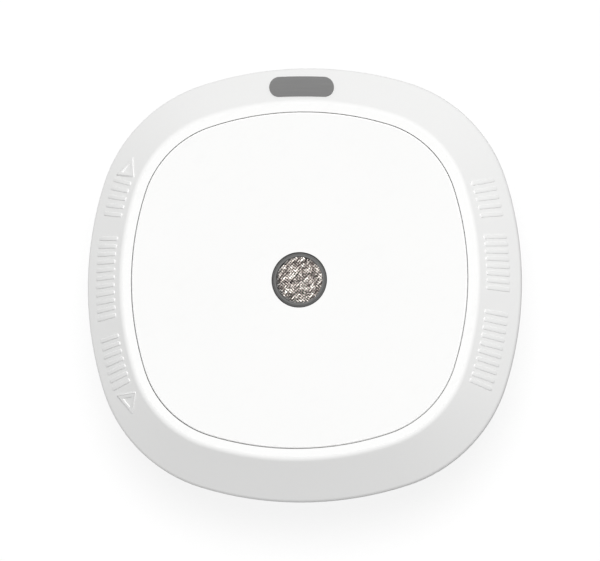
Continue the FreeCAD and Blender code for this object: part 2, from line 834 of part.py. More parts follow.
def button_springs():
    """Four bent strips between the ledge and the plate."""
    body = new_body("button_springs", z="ledge_top")
    sketch = new_sketch(body, "leaf_profile", "YZ_Plane", "half_width - ledge_inset + leaf_margin")
    rise = "(plate_under - ledge_top - film_gap)"
    draw_outline(
        sketch,
        [
            ("-leaf_length / 2", "0"),
            ("leaf_foot - leaf_length / 2", "0"),
            ("-leaf_crown / 2", f"{rise} - leaf_strip"),
            ("leaf_crown / 2", f"{rise} - leaf_strip"),
            ("leaf_length / 2 - leaf_foot", "0"),
            ("leaf_length / 2", "0"),
            ("leaf_length / 2", "leaf_strip"),
            ("leaf_length / 2 - leaf_foot + leaf_strip", "leaf_strip"),
            ("leaf_crown / 2 + leaf_strip", rise),
            ("-leaf_crown / 2 - leaf_strip", rise),
            ("leaf_foot - leaf_length / 2 - leaf_strip", "leaf_strip"),
            ("-leaf_length / 2", "leaf_strip"),
        ],
    )
    leaf = pad(body, sketch, "leaf_width", "leaf")
    body.AllowCompound = True
    repeat_round(body, leaf, 4, "leaves")
    return body


def sensor_nose():
    """Dark collar with air windows, which stands on the board and shows in the plate."""
    body = new_body("sensor_nose", z="board_top")
    profile = new_sketch(body, "nose_profile", "XZ_Plane")
    top = "(plate_top - board_top)"
    seat = "(mesh_under - board_top)"
    draw_outline(
        profile,
        [
            ("nose_inner", "0"),
            ("nose_flange", "0"),
            ("nose_flange", "nose_wall"),
            ("nose_radius", "nose_wall"),
            ("nose_radius", f"{top} - nose_wall / 3"),
            ("nose_radius - nose_wall / 3", top),
            ("mesh_radius + film_gap", top),
            ("mesh_radius + film_gap", seat),
            ("nose_inner", seat),
        ],
    )
    revolve(body, profile, "nose")
    window = new_sketch(body, "window_sketch", "YZ_Plane", "nose_inner / 2", turn=45)
    draw_box(window, "-nose_radius / 3", "4 * nose_wall", "nose_radius / 3", f"{top} - 5 * nose_wall")
    cut = pocket(body, window, "nose_radius", "window", reverse=True)
    repeat_round(body, cut, 4, "windows")
    return body


def sensor_mesh():
    """Metal mesh disc, which stays a thin plate here."""
    body = new_body("sensor_mesh", z="mesh_under")
    sketch = new_sketch(body, "mesh_sketch", "XY_Plane")
    draw_circle(sketch, "0", "0", "mesh_radius")
    pad(body, sketch, "mesh_thickness", "mesh")
    return body


def light_guide():
    """Clear rod that carries the status light up to the mesh."""
    body = new_body("light_guide", x="guide_place", z="board_top + led_height + bay_clearance")
    sketch = new_sketch(body, "guide_sketch", "XY_Plane")
    draw_circle(sketch, "0", "0", "guide_radius")
    pad(body, sketch, "mesh_under - board_top - led_height - 2 * bay_clearance", "rod")
    return body


def status_led():
    body = new_body("status_led", x="guide_place", z="board_top")
    sketch = new_sketch(body, "led_sketch", "XY_Plane")
    draw_box(sketch, "-led_length / 2", "-led_width / 2", "led_length / 2", "led_width / 2")
    pad(body, sketch, "led_height", "led")
    return body


def thermistor():
    """Bead on two leads, just behind the mesh."""
    body = new_body("thermistor", x="-guide_place", z="board_top")
    height = "(mesh_under - board_top - 2 * bead_radius - bay_clearance)"
    leads = new_sketch(body, "lead_sketch", "XY_Plane")
    for side in ("", "-"):
        draw_circle(leads, "0", f"{side}bead_radius / 2", "lead_radius")
    body.AllowCompound = True
    pad(body, leads, f"{height} + bead_radius", "leads")
    bead = new_sketch(body, "bead_profile", "XZ_Plane")
    draw_outline(
        bead,
        [
            ("0", height),
            ("bead_radius", f"{height} + bead_radius / 2"),
            ("bead_radius", f"{height} + bead_radius"),
            ("bead_radius / 2", f"{height} + 2 * bead_radius"),
            ("0", f"{height} + 2 * bead_radius"),
        ],
    )
    revolve(body, bead, "bead")
    return body


def main_board():
    body = new_body("main_board", z="board_under")
    sketch = new_sketch(body, "board_outline", "XY_Plane")
    draw_circle(sketch, "0", "0", "board_radius")
    pad(body, sketch, "board_thickness", "board")
    hole = new_sketch(body, "board_hole_sketch", "XY_Plane", "-overrun")
    draw_circle(
        hole,
        "board_screw_circle * cos(45)",
        "board_screw_circle * sin(45)",
        "screw_radius + shank_clearance",
    )
    cut = pocket(body, hole, "board_thickness + 2 * overrun", "board_hole", reverse=True)
    repeat_round(body, cut, 4, "board_holes")
    return body


def chamber_base():
    """Round tray with a ring of bent vanes, which let smoke in and keep light out."""
    body = new_body("chamber_base", x="-chamber_place", z="board_top")
    mouth = "(chamber_radius - screen_wall - bay_clearance - vane_margin)"
    elbow = f"({mouth} - vane_entry)"
    tail = f"({elbow} - vane_lap)"
    tray = new_sketch(body, "tray_sketch", "XY_Plane")
    draw_circle(tray, "0", "0", "chamber_radius")
    pad(body, tray, "chamber_floor", "tray")
    vane = new_sketch(body, "vane_sketch", "XY_Plane", "chamber_floor / 2")
    draw_outline(
        vane,
        [
            (mouth, "0"),
            (mouth, "vane_wall"),
            (elbow, "vane_wall + vane_bend"),
            (tail, "vane_wall + vane_bend + vane_tail"),
            (f"{tail} - vane_wall", "vane_wall + vane_bend + vane_tail"),
            (f"{elbow} - vane_wall", "vane_wall"),
        ],
    )
    vane_height = "(chamber_height - chamber_floor * 1.5 - bay_clearance - chamber_floor / 2)"
    vane_pad = pad(body, vane, vane_height, "vane")
    repeat_round(body, vane_pad, sizes["vane_count"], "vanes")
    return body


def chamber_cover():
    """Lid of the chamber with a short rim outside the screen."""
    body = new_body("chamber_cover", x="-chamber_place", z="board_top + chamber_height")
    profile = new_sketch(body, "lid_profile", "XZ_Plane")
    inside = "(chamber_radius - screen_wall - bay_clearance)"
    draw_outline(
        profile,
        [
            ("0", "0"),
            ("0", "-chamber_floor"),
            (f"{inside} - lid_rim", "-chamber_floor"),
            (f"{inside} - lid_rim", "-chamber_floor - lid_rim_depth"),
            (inside, "-chamber_floor - lid_rim_depth"),
            (inside, "-chamber_floor"),
            ("chamber_radius", "-chamber_floor"),
            ("chamber_radius", "-chamber_floor / 2"),
            ("chamber_radius - lid_rim", "0"),
        ],
    )
    revolve(body, profile, "lid")
    return body


def insect_screen():
    """Thin woven band round the vanes."""
    body = new_body("insect_screen", x="-chamber_place", z="board_top + chamber_floor + film_gap")
    sketch = new_sketch(body, "screen_sketch", "XY_Plane")
    draw_circle(sketch, "0", "0", "chamber_radius")
    draw_circle(sketch, "0", "0", "chamber_radius - screen_wall")
    pad(body, sketch, "chamber_height - 2 * chamber_floor - 2 * film_gap", "screen")
    return body


def light_element(name, angle):
    """Round-nosed emitter or receiver that lies in the chamber and points at its middle."""
    body = new_body(
        name,
        x=f"-chamber_place + element_place * cos({angle})",
        y=f"element_place * sin({angle})",
        z="board_top + chamber_floor + element_radius + touch_gap",
    )
    body.Placement = FreeCAD.Placement(
        body.Placement.Base, FreeCAD.Rotation(FreeCAD.Vector(0, 0, 1), angle + 180)
    )
    sketch = new_sketch(body, "element_sketch", "YZ_Plane", "-element_length / 2")
    draw_circle(sketch, "0", "0", "element_radius")
    pad(body, sketch, "element_length", "element")
    return body


def sounder_housing():
    """Cup round the sounder disc with the sound port in its lid."""
    body = new_body("sounder_housing", x="sounder_place", z="board_top")
    profile = new_sketch(body, "cup_profile", "XZ_Plane")
    inner = "(sounder_radius - sounder_wall)"
    ledge = "(sounder_height / 2)"
    draw_outline(
        profile,
        [
            (f"{inner} - sounder_wall", "0"),
            ("sounder_radius", "0"),
            ("sounder_radius", "sounder_height - sounder_wall / 2"),
            ("sounder_radius - sounder_wall / 2", "sounder_height"),
            ("sound_port", "sounder_height"),
            ("sound_port", "sounder_height - sounder_wall"),
            (inner, "sounder_height - sounder_wall"),
            (inner, ledge),
            (f"{inner} - sounder_wall", ledge),
        ],
    )
    revolve(body, profile, "cup")
    return body


def sounder_disc():
    body = new_body("sounder_disc", x="sounder_place", z="board_top + sounder_height / 2 + film_gap")
    sketch = new_sketch(body, "disc_sketch", "XY_Plane")
    draw_circle(sketch, "0", "0", "sounder_disc_radius")
    pad(body, sketch, "sounder_disc_thickness", "disc")
    return body


def push_switch(name, y, z, direction):
    """Square switch body with a round well for its cap, facing up (1) or down (-1)."""
    body = new_body(name, y=y, z=z)
    half = "(switch_side / 2)"
    foot = "0" if direction > 0 else "-switch_height"
    sketch = new_sketch(body, "case_sketch", "XY_Plane", foot)
    draw_box(sketch, f"-{half}", f"-{half}", half, half)
    pad(body, sketch, "switch_height", "case")
    well_foot = "switch_height - cap_height" if direction > 0 else "-switch_height - overrun"
    well = new_sketch(body, "well_sketch", "XY_Plane", well_foot)
    draw_circle(well, "0", "0", "cap_radius + cap_clearance")
    pocket(body, well, "cap_height + overrun", "well", reverse=True)
    return body


def switch_cap(name, y, z):
    """Round cap, half of it inside the switch's well."""
    body = new_body(name, y=y, z=z)
    sketch = new_sketch(body, "cap_sketch", "XY_Plane")
    draw_circle(sketch, "0", "0", "cap_radius")
    pad(body, sketch, "1.5 * cap_height", "cap")
    return body


def tamper_plunger():
    """Long pin with a collar, from the ramp of the base up to the tamper switch."""
    body = new_body("tamper_plunger", y="tamper_place", z="plunger_end")
    top = "(board_under - switch_height - cap_height - touch_gap - plunger_end)"
    profile = new_sketch(body, "plunger_profile", "XZ_Plane")
    draw_outline(
        profile,
        [
            ("0", "0"),
            ("plunger_radius / 2", "0", "plunger_radius"),
            ("plunger_radius", "plunger_radius * 3 / 4"),
            ("plunger_radius", f"{top} - plunger_collar / 2"),
            ("plunger_collar", f"{top} - plunger_collar / 2"),
            ("plunger_collar", top),
            ("0", top),
        ],
    )
    revolve(body, profile, "plunger")
    return body


def radio_module():
    """Small board with a shield can."""
    body = new_body("radio_module", y="-radio_place", z="board_top")
    card = new_sketch(body, "card_sketch", "XY_Plane")
    draw_box(card, "-radio_length / 2", "-radio_depth / 2", "radio_length / 2", "radio_depth / 2")
    pad(body, card, "radio_board", "card")
    can = new_sketch(body, "can_sketch", "XY_Plane", "radio_board / 2")
    draw_box(
        can,
        "-radio_length / 2 + radio_margin",
        "-radio_depth / 2 + 2 * radio_margin",
        "radio_length / 2 - radio_margin",
        "radio_depth / 2 - radio_margin",
    )
    pad(body, can, "radio_board / 2 + radio_shield", "can")
    return body


def antenna():
    """Wire bent round the edge of the board, on one leg."""
    body = new_body("antenna", z="board_top")
    profile = new_sketch(body, "leg_sketch", "XY_Plane")
    x = "antenna_circle * cos(antenna_start)"
    y = "antenna_circle * sin(antenna_start)"
    draw_circle(profile, x, y, "antenna_radius + touch_gap")
    pad(body, profile, "antenna_height", "leg")
    arc = new_sketch(body, "wire_sketch", "XY_Plane", "antenna_height - antenna_radius")
    draw_sector(
        arc,
        "antenna_circle - antenna_radius",
        "antenna_circle + antenna_radius",
        "antenna_start",
        "antenna_end",
    )
    pad(body, arc, "2 * antenna_radius", "wire")
    return body


def controller_chip():
    body = new_body("controller_chip", x="chip_place_x", y="-chip_place_y", z="board_top")
    sketch = new_sketch(body, "chip_sketch", "XY_Plane")
    draw_box(sketch, "-chip_side / 2", "-chip_side / 2", "chip_side / 2", "chip_side / 2")
    pad(body, sketch, "chip_height", "chip")
    return body


def buffer_capacitor():
    body = new_body("buffer_capacitor", x="-capacitor_place_x", y="capacitor_place_y", z="board_top")
    profile = new_sketch(body, "capacitor_profile", "XZ_Plane")
    draw_outline(
        profile,
        [
            ("0", "0"),
            ("capacitor_radius", "0"),
            ("capacitor_radius", "capacitor_height - capacitor_edge"),
            ("capacitor_radius - capacitor_edge", "capacitor_height"),
            ("0", "capacitor_height"),
        ],
    )
    revolve(body, profile, "capacitor")
    return body


def battery_cell(name, x, direction):
    """Cell that lies in its bay, its nub towards -Y (-1) or +Y (1)."""
    body = new_body(
        name,
        x=x,
        y=f"{direction} * (contact_space - contact_strip) / 2",
        z="cell_centre_height",
    )
    body.Placement = FreeCAD.Placement(
        body.Placement.Base, FreeCAD.Rotation(FreeCAD.Vector(1, 0, 0), -90 * direction)
    )
    profile = new_sketch(body, "cell_profile", "XZ_Plane")
    half = "(cell_length / 2)"
    draw_outline(
        profile,
        [
            ("0", f"-{half}"),
            ("cell_diameter / 2 - cell_edge", f"-{half}"),
            ("cell_diameter / 2", f"cell_edge - {half}"),
            ("cell_diameter / 2", f"{half} - cell_nub_height - cell_edge"),
            ("cell_diameter / 2 - cell_edge", f"{half} - cell_nub_height"),
            ("cell_nub_radius", f"{half} - cell_nub_height"),
            ("cell_nub_radius", half),
            ("0", half),
        ],
    )
    revolve(body, profile, "cell")
    return body


def contact_plates():
    """Flat contacts at the nub end of each cell, on the wall of its bay."""
    body = new_body("contact_plates", z="cell_centre_height")
    body.AllowCompound = True
    sketch = new_sketch(body, "plate_sketch", "XY_Plane", "-cell_diameter / 3")
    strip = "contact_strip"
    for direction in (1, -1):
        x = f"({direction} * cell_place)"
        first = f"{direction} * (bay_length / 2)"
        second = f"{direction} * (bay_length / 2 - {strip})"
        low, high = (second, first) if direction > 0 else (first, second)
        draw_box(sketch, f"{x} - cell_diameter / 3", low, f"{x} + cell_diameter / 3", high)
    pad(body, sketch, "cell_diameter * 2 / 3", "contacts")
    return body


def contact_springs():
    """Bent leaf contacts at the flat end of each cell."""
    body = new_body("contact_springs", z="cell_centre_height")
    body.AllowCompound = True
    sketch = new_sketch(body, "leaf_sketch", "XY_Plane", "-cell_diameter / 4")
    strip = "contact_strip"
    for direction in (1, -1):
        x = f"({direction} * cell_place)"
        wall = f"({-direction} * bay_length / 2)"
        reach = f"({direction} * (contact_space - touch_gap))"
        thick = f"({direction} * {strip})"
        corners = [
            (f"{x} + cell_diameter / 3", wall),
            (f"{x} + cell_diameter / 3", f"{wall} + {thick}"),
            (f"{x} - cell_diameter / 4", f"{wall} + {thick}"),
            (f"{x} + {strip}", f"{wall} + {reach}"),
            (f"{x} - cell_diameter / 4", f"{wall} + {reach} - {thick} / 2"),
            (f"{x} - cell_diameter / 3", f"{wall} + {thick}"),
            (f"{x} - cell_diameter / 3", wall),
        ]
        draw_outline(sketch, corners)
    pad(body, sketch, "cell_diameter / 2", "leaves")
    return body


def screws(name, circle, head_foot, length, direction):
    """Four pan-head screws on a circle, their heads up (1) or down (-1)."""
    body = new_body(name, z=head_foot)
    body.AllowCompound = True
    head = new_sketch(body, "head_sketch", "XY_Plane")
    x = f"{circle} * cos(45)"
    y = f"{circle} * sin(45)"
    draw_circle(head, x, y, "screw_head_radius")
    head_pad = pad(body, head, "screw_head_height", "head")
    foot = f"-({length})" if direction > 0 else "screw_head_height / 2"
    shank = new_sketch(body, "shank_sketch", "XY_Plane", foot)
    draw_circle(shank, x, y, "screw_radius")
    shank_pad = pad(body, shank, f"{length} + screw_head_height / 2", "shank")
    pattern = repeat_round(body, head_pad, 4, "screws")
    pattern.Originals = [head_pad, shank_pad]
    doc.recompute()
    return body


bodies = [
    mounting_base(),
    rear_housing(),
    front_cover(),
    front_plate(),
    button_springs(),
    sensor_nose(),
    sensor_mesh(),
    light_guide(),
    status_led(),
    thermistor(),
    main_board(),
    chamber_base(),
    chamber_cover(),
    insect_screen(),
    light_element("infrared_emitter", 60),
    light_element("photodiode", 300),
    sounder_housing(),
    sounder_disc(),
    push_switch("test_switch", "test_switch_place", "board_top", 1),
    switch_cap("test_switch_cap", "test_switch_place", "board_top + switch_height - cap_height / 2"),
    push_switch("tamper_switch", "tamper_place", "board_under", -1),
    switch_cap("tamper_switch_cap", "tamper_place", "board_under - switch_height - cap_height"),
    tamper_plunger(),
    radio_module(),
    antenna(),
    controller_chip(),
    buffer_capacitor(),
    battery_cell("battery_left", "-cell_place", -1),
    battery_cell("battery_right", "cell_place", 1),
    contact_plates(),
    contact_springs(),
    screws("board_screws", "board_screw_circle", "board_top", "board_screw_length", 1),
    screws(
        "housing_screws",
        "housing_screw_circle",
        "shoulder_under",
        "wall_top - shoulder_under + pilot_depth - screw_tip_gap",
        -1,
    ),
]
doc.recompute()

for item in doc.Objects:
    if "Invalid" in item.State or "Error" in item.State:
        raise RuntimeError(f"{item.Label}: {item.State}")
for body in bodies:
    if body.Shape.isNull() or not body.Shape.isValid():
        raise RuntimeError(f"{body.Label}: bad shape")
for body in bodies:
    body.Shape.exportStep(f"parts/{body.Label}.step")
    print(body.Label, len(body.Shape.Solids), len(body.Shape.Faces), round(body.Shape.Volume, 1))
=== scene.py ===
import math

import bmesh
import bpy
from mathutils import Matrix, Vector


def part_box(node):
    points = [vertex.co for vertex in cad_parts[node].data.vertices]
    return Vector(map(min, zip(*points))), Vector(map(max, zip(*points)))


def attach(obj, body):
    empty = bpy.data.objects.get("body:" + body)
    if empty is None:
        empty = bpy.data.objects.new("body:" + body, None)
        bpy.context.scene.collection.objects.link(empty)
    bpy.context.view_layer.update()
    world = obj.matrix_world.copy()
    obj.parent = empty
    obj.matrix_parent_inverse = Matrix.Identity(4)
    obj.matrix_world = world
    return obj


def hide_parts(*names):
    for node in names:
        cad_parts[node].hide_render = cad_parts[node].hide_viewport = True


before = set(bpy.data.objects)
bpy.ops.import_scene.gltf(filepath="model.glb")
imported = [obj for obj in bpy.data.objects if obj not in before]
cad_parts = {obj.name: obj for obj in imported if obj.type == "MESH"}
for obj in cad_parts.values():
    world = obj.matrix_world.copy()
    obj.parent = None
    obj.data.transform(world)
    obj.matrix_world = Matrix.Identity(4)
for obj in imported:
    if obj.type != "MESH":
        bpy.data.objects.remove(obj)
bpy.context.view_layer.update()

print("frame loaded:", len(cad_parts), "nodes")

tolerance = 0.000001        # places that differ by less are one


# Shader helpers

class Amount:
    # Wraps a socket, so that a sum written with it adds Math nodes
    def __init__(self, finish, socket):
        self.finish = finish
        self.socket = socket

    def worked(self, operation, *values):
        inputs = dict(enumerate(values))
        return self.finish.node("ShaderNodeMath", {"operation": operation}, inputs)

    def __add__(self, other):
        return self.worked("ADD", self, other)

    def __radd__(self, other):
        return self.worked("ADD", other, self)

    def __sub__(self, other):
        return self.worked("SUBTRACT", self, other)

    def __rsub__(self, other):
        return self.worked("SUBTRACT", other, self)

    def __mul__(self, other):
        return self.worked("MULTIPLY", self, other)

    def __rmul__(self, other):
        return self.worked("MULTIPLY", other, self)

    def __truediv__(self, other):
        return self.worked("DIVIDE", self, other)

    def __gt__(self, other):
        return self.worked("GREATER_THAN", self, other)

    def __lt__(self, other):
        return self.worked("LESS_THAN", self, other)

    def __abs__(self):
        return self.worked("ABSOLUTE", self)

    def sine(self):
        return self.worked("SINE", self)

    def most(self, other):
        return self.worked("MAXIMUM", self, other)

    def held(self):
        # Kept between 0 and 1
        return self.worked("MINIMUM", self.most(0), 1)


class Finish:
    # One material: its shader, its object coordinates and the nodes that feed it
    def __init__(self, name, colour, roughness, **constants):
        self.material = bpy.data.materials.new(name)
        self.material.use_nodes = True
        self.tree = self.material.node_tree
        self.shader = self.tree.nodes["Principled BSDF"]
        self.shader.inputs["Base Color"].default_value = (*colour, 1)
        self.shader.inputs["Roughness"].default_value = roughness
        for socket, value in constants.items():
            self.shader.inputs[socket.replace("_", " ")].default_value = value
        self.place = self.node("ShaderNodeTexCoord", output="Object")

    def node(self, kind, settings=None, inputs=None, output=0):
        made = self.tree.nodes.new(kind)
        for name, value in (settings or {}).items():
            if name == "stops":
                self.setStops(made.color_ramp, value)
            else:
                setattr(made, name, value)
        for name, value in (inputs or {}).items():
            self.feed(made.inputs[name], value)
        return Amount(self, made.outputs[output])

    def setStops(self, ramp, stops):
        while len(ramp.elements) < len(stops):
            ramp.elements.new(1)
        for element, (position, colour) in zip(ramp.elements, stops):
            element.position = position
            element.color = (*colour, 1)

    def feed(self, socket, value):
        if isinstance(value, Amount):
            self.tree.links.new(value.socket, socket)
        else:
            socket.default_value = value

    def lay(self, height, depth, **varying):
        # The surface's relief, and what else varies over it, by the name of the shader's socket
        for socket, value in varying.items():
            self.feed(self.shader.inputs[socket.replace("_", " ")], value)
        inputs = {"Strength": 1.0, "Distance": depth, "Height": height}
        self.feed(self.shader.inputs["Normal"], self.node("ShaderNodeBump", None, inputs))
        return self

    def axis(self, letter, place=None):
        return self.node("ShaderNodeSeparateXYZ", None, {0: place or self.place}, "XYZ".index(letter))

    def mapped(self, move=(0, 0, 0), turn=(0, 0, 0), scale=(1, 1, 1)):
        inputs = {"Vector": self.place, "Location": move, "Rotation": turn, "Scale": scale}
        return self.node("ShaderNodeMapping", {"vector_type": "POINT"}, inputs)

    def drawn(self, turn, stretch):
        # Coordinates for streaks that run at this angle from X, stretch times as long as wide
        inputs = {"Vector": self.place, "Rotation": (0, 0, turn), "Scale": (stretch, 1, 1)}
        return self.node("ShaderNodeMapping", {"vector_type": "TEXTURE"}, inputs)

    def noise(self, size, detail=2, place=None):
        inputs = {"Vector": place or self.place, "Scale": 1 / size, "Detail": detail}
        return self.node("ShaderNodeTexNoise", None, inputs)

    def cells(self, size, place=None):
        inputs = {"Vector": place or self.place, "Scale": 1 / size}
        return self.node("ShaderNodeTexVoronoi", None, inputs)

    def ramp(self, amount, stops):
        return self.node("ShaderNodeValToRGB", {"stops": stops}, {0: amount})

    def blend(self, amount, first, second):
        # Colours as three numbers or as the colour of another node
        sides = [side if isinstance(side, Amount) else (*side, 1) for side in (first, second)]
        settings = {"data_type": "RGBA"}
        return self.node("ShaderNodeMix", settings, {0: amount, 6: sides[0], 7: sides[1]}, 2)

    def radius(self, centre):
        # Distance from an upright line through the centre, in metres
        flat = self.mapped(move=(-centre[0], -centre[1], 0), scale=(1, 1, 0))
        return self.node("ShaderNodeVectorMath", {"operation": "LENGTH"}, {0: flat}, "Value")

    def turnAngle(self, centre):
        x = self.axis("X") - centre[0]
        y = self.axis("Y") - centre[1]
        return y.worked("ARCTAN2", y, x)


def centreOf(node):
    low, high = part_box(node)
    return (low + high) / 2


def dress(finish, *nodes):
    for name in nodes:
        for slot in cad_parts[name].material_slots:
            slot.material = finish.material


# Finishes of the housing

whiteSettings = {
    "tone": (0.885, 0.885, 0.88),
    "shadeTone": (0.865, 0.866, 0.86),
    "cloudSize": 0.03,
    "index": 1.49,
    "roughness": 0.56,
    "grainSize": 0.00035,
    "grainDepth": 0.00001,
    "grainRough": 0.1,
    "rubSize": 0.0015,
    "rubTurn": 0.6,
    "rubStretch": 4,
    "rubStart": 0.62,
    "rubRough": 0.06,
    "outlineShadeHeight": None,        # height of a painted shade line round the widest outline
    "outlineShadeTone": (0.5, 0.5, 0.495),
    "outlineShadeReach": 0.0004,
    "facing": 0,            # near the top, faces that face up less than this get painted light: the walls beside the gap
    # Paler tone, and how far below the plate's top it reaches: painted light beside the gap
    "paintedEdgeTone": (0.985, 0.985, 0.98),
    "paintedLightDepth": 0.004,
}


def widestHeight(node):
    # Height of the top of a node's widest outline, where the mould parts and the painted shade line
    # sits
    corners = [corner.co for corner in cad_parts[node].data.vertices]
    widest = max(corner.x for corner in corners)
    return max(corner.z for corner in corners if corner.x > widest - tolerance)


whiteKinds = {
    "coverWhite": {"outlineShadeHeight": widestHeight("front_cover"), "facing": 0.65},
    "plateWhite": {"grainSize": 0.0005, "grainDepth": 0.000008, "roughness": 0.64, "facing": 0.99},
    "baseWhite": {"grainSize": 0.0007, "grainDepth": 0.000016, "roughness": 0.5},
    "markWhite": {"grainDepth": 0.000008},
}


def whitePlastic(name):
    # Fine grain, rubbed here and there. Walls beside the gap get painted light, and the widest outline
    # a painted shade line.
    s = {**whiteSettings, **whiteKinds[name]}
    finish = Finish(name, s["tone"], s["roughness"], IOR=s["index"])
    cloud = finish.noise(s["cloudSize"], detail=3)
    grain = finish.noise(s["grainSize"])
    rub = finish.noise(s["rubSize"], detail=4, place=finish.drawn(s["rubTurn"], s["rubStretch"]))
    tone = finish.blend(cloud, s["tone"], s["shadeTone"])
    # Painted shade: a darker line round the widest outline, where the mould parts
    if s["outlineShadeHeight"]:
        away = abs(finish.axis("Z") - s["outlineShadeHeight"]) / s["outlineShadeReach"]
        tone = finish.blend(away.held(), s["outlineShadeTone"], tone)
    # Painted light: near the top, faces that face up little, the walls beside the gap, are made paler
    if s["facing"]:
        normal = finish.node("ShaderNodeTexCoord", output="Normal")
        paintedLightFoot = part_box("front_plate")[1].z - s["paintedLightDepth"]
        edge = (finish.axis("Z", normal) < s["facing"]) * (finish.axis("Z") > paintedLightFoot)
        tone = finish.blend(edge, tone, s["paintedEdgeTone"])
    rough = s["roughness"] - s["grainRough"] / 2 + s["grainRough"] * grain
    rough = rough + s["rubRough"] * (rub > s["rubStart"])
    return finish.lay(grain, s["grainDepth"], Base_Color=tone, Roughness=rough)


ventedSettings = {
    "roughness": 0.46,
    "grainSize": 0.0006,
    "fineSize": 0.0002,
    "fineShare": 0.5,
    "fineRough": 0.12,
    "depth": 0.000016,
    "dustTone": (0.80, 0.795, 0.78),
    "dustPatch": 0.012,
    "dustSpeck": 0.002,
}


def ventedPlastic(name):
    # Rear shell: coarser spark-eroded grain with a little dust
    s = {**whiteSettings, **ventedSettings}
    finish = Finish(name, s["tone"], s["roughness"], IOR=s["index"])
    grain = finish.cells(s["grainSize"])
    fine = finish.noise(s["fineSize"])
    dust = finish.noise(s["dustPatch"], detail=4) * finish.noise(s["dustSpeck"])
    tone = finish.blend(dust, s["tone"], s["dustTone"])
    rough = s["roughness"] + s["fineRough"] * fine
    return finish.lay(grain + s["fineShare"] * fine, s["depth"], Base_Color=tone, Roughness=rough)


slidingSettings = {
    "tone": (0.83, 0.83, 0.80),
    "index": 1.48,
    "roughness": 0.24,
    "lineSize": 0.0003,
    "lineSquash": 0.05,
    "lineRough": 0.14,
    "lineDepth": 0.000004,
}


def slidingPlastic(name):
    # Acetal of the sliding pin: smoother, with drawn lines along its length
    s = slidingSettings
    finish = Finish(name, s["tone"], s["roughness"], IOR=s["index"])
    lines = finish.noise(s["lineSize"], place=finish.mapped(scale=(1, 1, s["lineSquash"])))
    return finish.lay(lines, s["lineDepth"], Roughness=s["roughness"] + s["lineRough"] * lines)


collarSettings = {
    "tone": (0.056, 0.056, 0.055),
    "paleTone": (0.083, 0.083, 0.081),
    "cloudSize": 0.003,
    "wornTone": (0.155, 0.155, 0.153),
    "wornStart": 0.0065,
    "wornWidth": 0.0004,
    "index": 1.5,
    "roughness": 0.44,
    "grainSize": 0.00025,
    "grainRough": 0.16,
    "grainDepth": 0.00001,
}


def collarPlastic(name):
    # Dark grey collar, worn paler round its outer edge
    s = collarSettings
    finish = Finish(name, s["tone"], s["roughness"], IOR=s["index"])
    grain = finish.noise(s["grainSize"])
    cloud = finish.noise(s["cloudSize"], detail=3)
    worn = (finish.radius(centreOf("sensor_nose")) - s["wornStart"]) / s["wornWidth"]
    top = finish.blend(cloud, s["tone"], s["paleTone"])
    tone = finish.blend(worn.held(), top, s["wornTone"])
    rough = s["roughness"] + s["grainRough"] * grain
    return finish.lay(grain, s["grainDepth"], Base_Color=tone, Roughness=rough)


blackSettings = {
    "cloudSize": 0.006,
    "paleGain": 1.9,
    "paleLift": 0.004,
    "index": 1.5,
    "roughness": 0.42,
    "grainRough": 0.2,
    "grainDepth": 0.00001,
}

blackKinds = {
    "chamberBlack": {"tone": (0.014, 0.014, 0.015), "grainSize": 0.0005},
    "sounderBlack": {"tone": (0.022, 0.022, 0.024), "grainSize": 0.0003},
    "switchBlack": {"tone": (0.03, 0.03, 0.032), "grainSize": 0.0002},
    "capGrey": {"tone": (0.09, 0.09, 0.095), "grainSize": 0.00025},
}


def blackPlastic(name):
    s = {**blackSettings, **blackKinds[name]}
    finish = Finish(name, s["tone"], s["roughness"], IOR=s["index"])
    grain = finish.cells(s["grainSize"])
    cloud = finish.noise(s["cloudSize"], detail=3)
    paler = tuple(part * s["paleGain"] + s["paleLift"] for part in s["tone"])
    tone = finish.blend(cloud * grain, s["tone"], paler)
    rough = s["roughness"] + s["grainRough"] * grain
    return finish.lay(grain, s["grainDepth"], Base_Color=tone, Roughness=rough)


# Finishes of the metal pieces

steelSettings = {
    "lineSize": 0.0004,
    "lineStretch": 16,
    "lineRough": 0.22,
    "lineDepth": 0.000004,
    "stainSize": 0.005,
    "stainGain": 0.82,
    "roughDrop": 0.1,
}

steelKinds = {
    "leafSteel": {"tone": (0.52, 0.52, 0.54), "turn": 0.0, "roughness": 0.28},
    "screwSteel": {"tone": (0.58, 0.58, 0.6), "turn": 0.7, "roughness": 0.32},
    "rimSteel": {"tone": (0.17, 0.165, 0.16), "turn": 0.0, "roughness": 0.42},
}


def brushedSteel(name):
    s = {**steelSettings, **steelKinds[name]}
    finish = Finish(name, s["tone"], s["roughness"], Metallic=1.0)
    brushed = finish.noise(s["lineSize"], detail=3, place=finish.drawn(s["turn"], s["lineStretch"]))
    stain = finish.noise(s["stainSize"], detail=3)
    darker = tuple(part * s["stainGain"] for part in s["tone"])
    tone = finish.blend(stain, s["tone"], darker)
    rough = s["roughness"] - s["roughDrop"] + s["lineRough"] * brushed
    return finish.lay(brushed, s["lineDepth"], Base_Color=tone, Roughness=rough)


wireSettings = {
    "streak": 0.00052,
    "stretch": 4.0,
    "turn": math.radians(50),
    "patch": 0.0019,
    "patchLimit": 0.37,
    "shadeSize": 0.00152,
    "shadeShare": 0.15,
    # The ramp's dark stops are painted shade between the wires, its bright stops painted highlights
    "stops": (
        (0.37, (0.10, 0.085, 0.08)),
        (0.47, (0.26, 0.225, 0.21)),
        (0.54, (0.60, 0.55, 0.51)),
        (0.63, (0.93, 0.89, 0.84)),
    ),
    # Painted shade of the collar over the cloth's edge, its centre set off so it is wider on the left
    "collarShadeCentre": (0.0005, 0.00025),
    "collarShadeGrain": 0.0012,
    "collarShadeSway": 0.0016,
    "collarShadeStart": 0.0057,
    "collarShadeWidth": 0.0006,
    "paintedEdgeTone": (0.2, 0.195, 0.19),
    "roughness": 0.3,
    "streakRough": 0.3,
    "streakDepth": 0.000012,
}


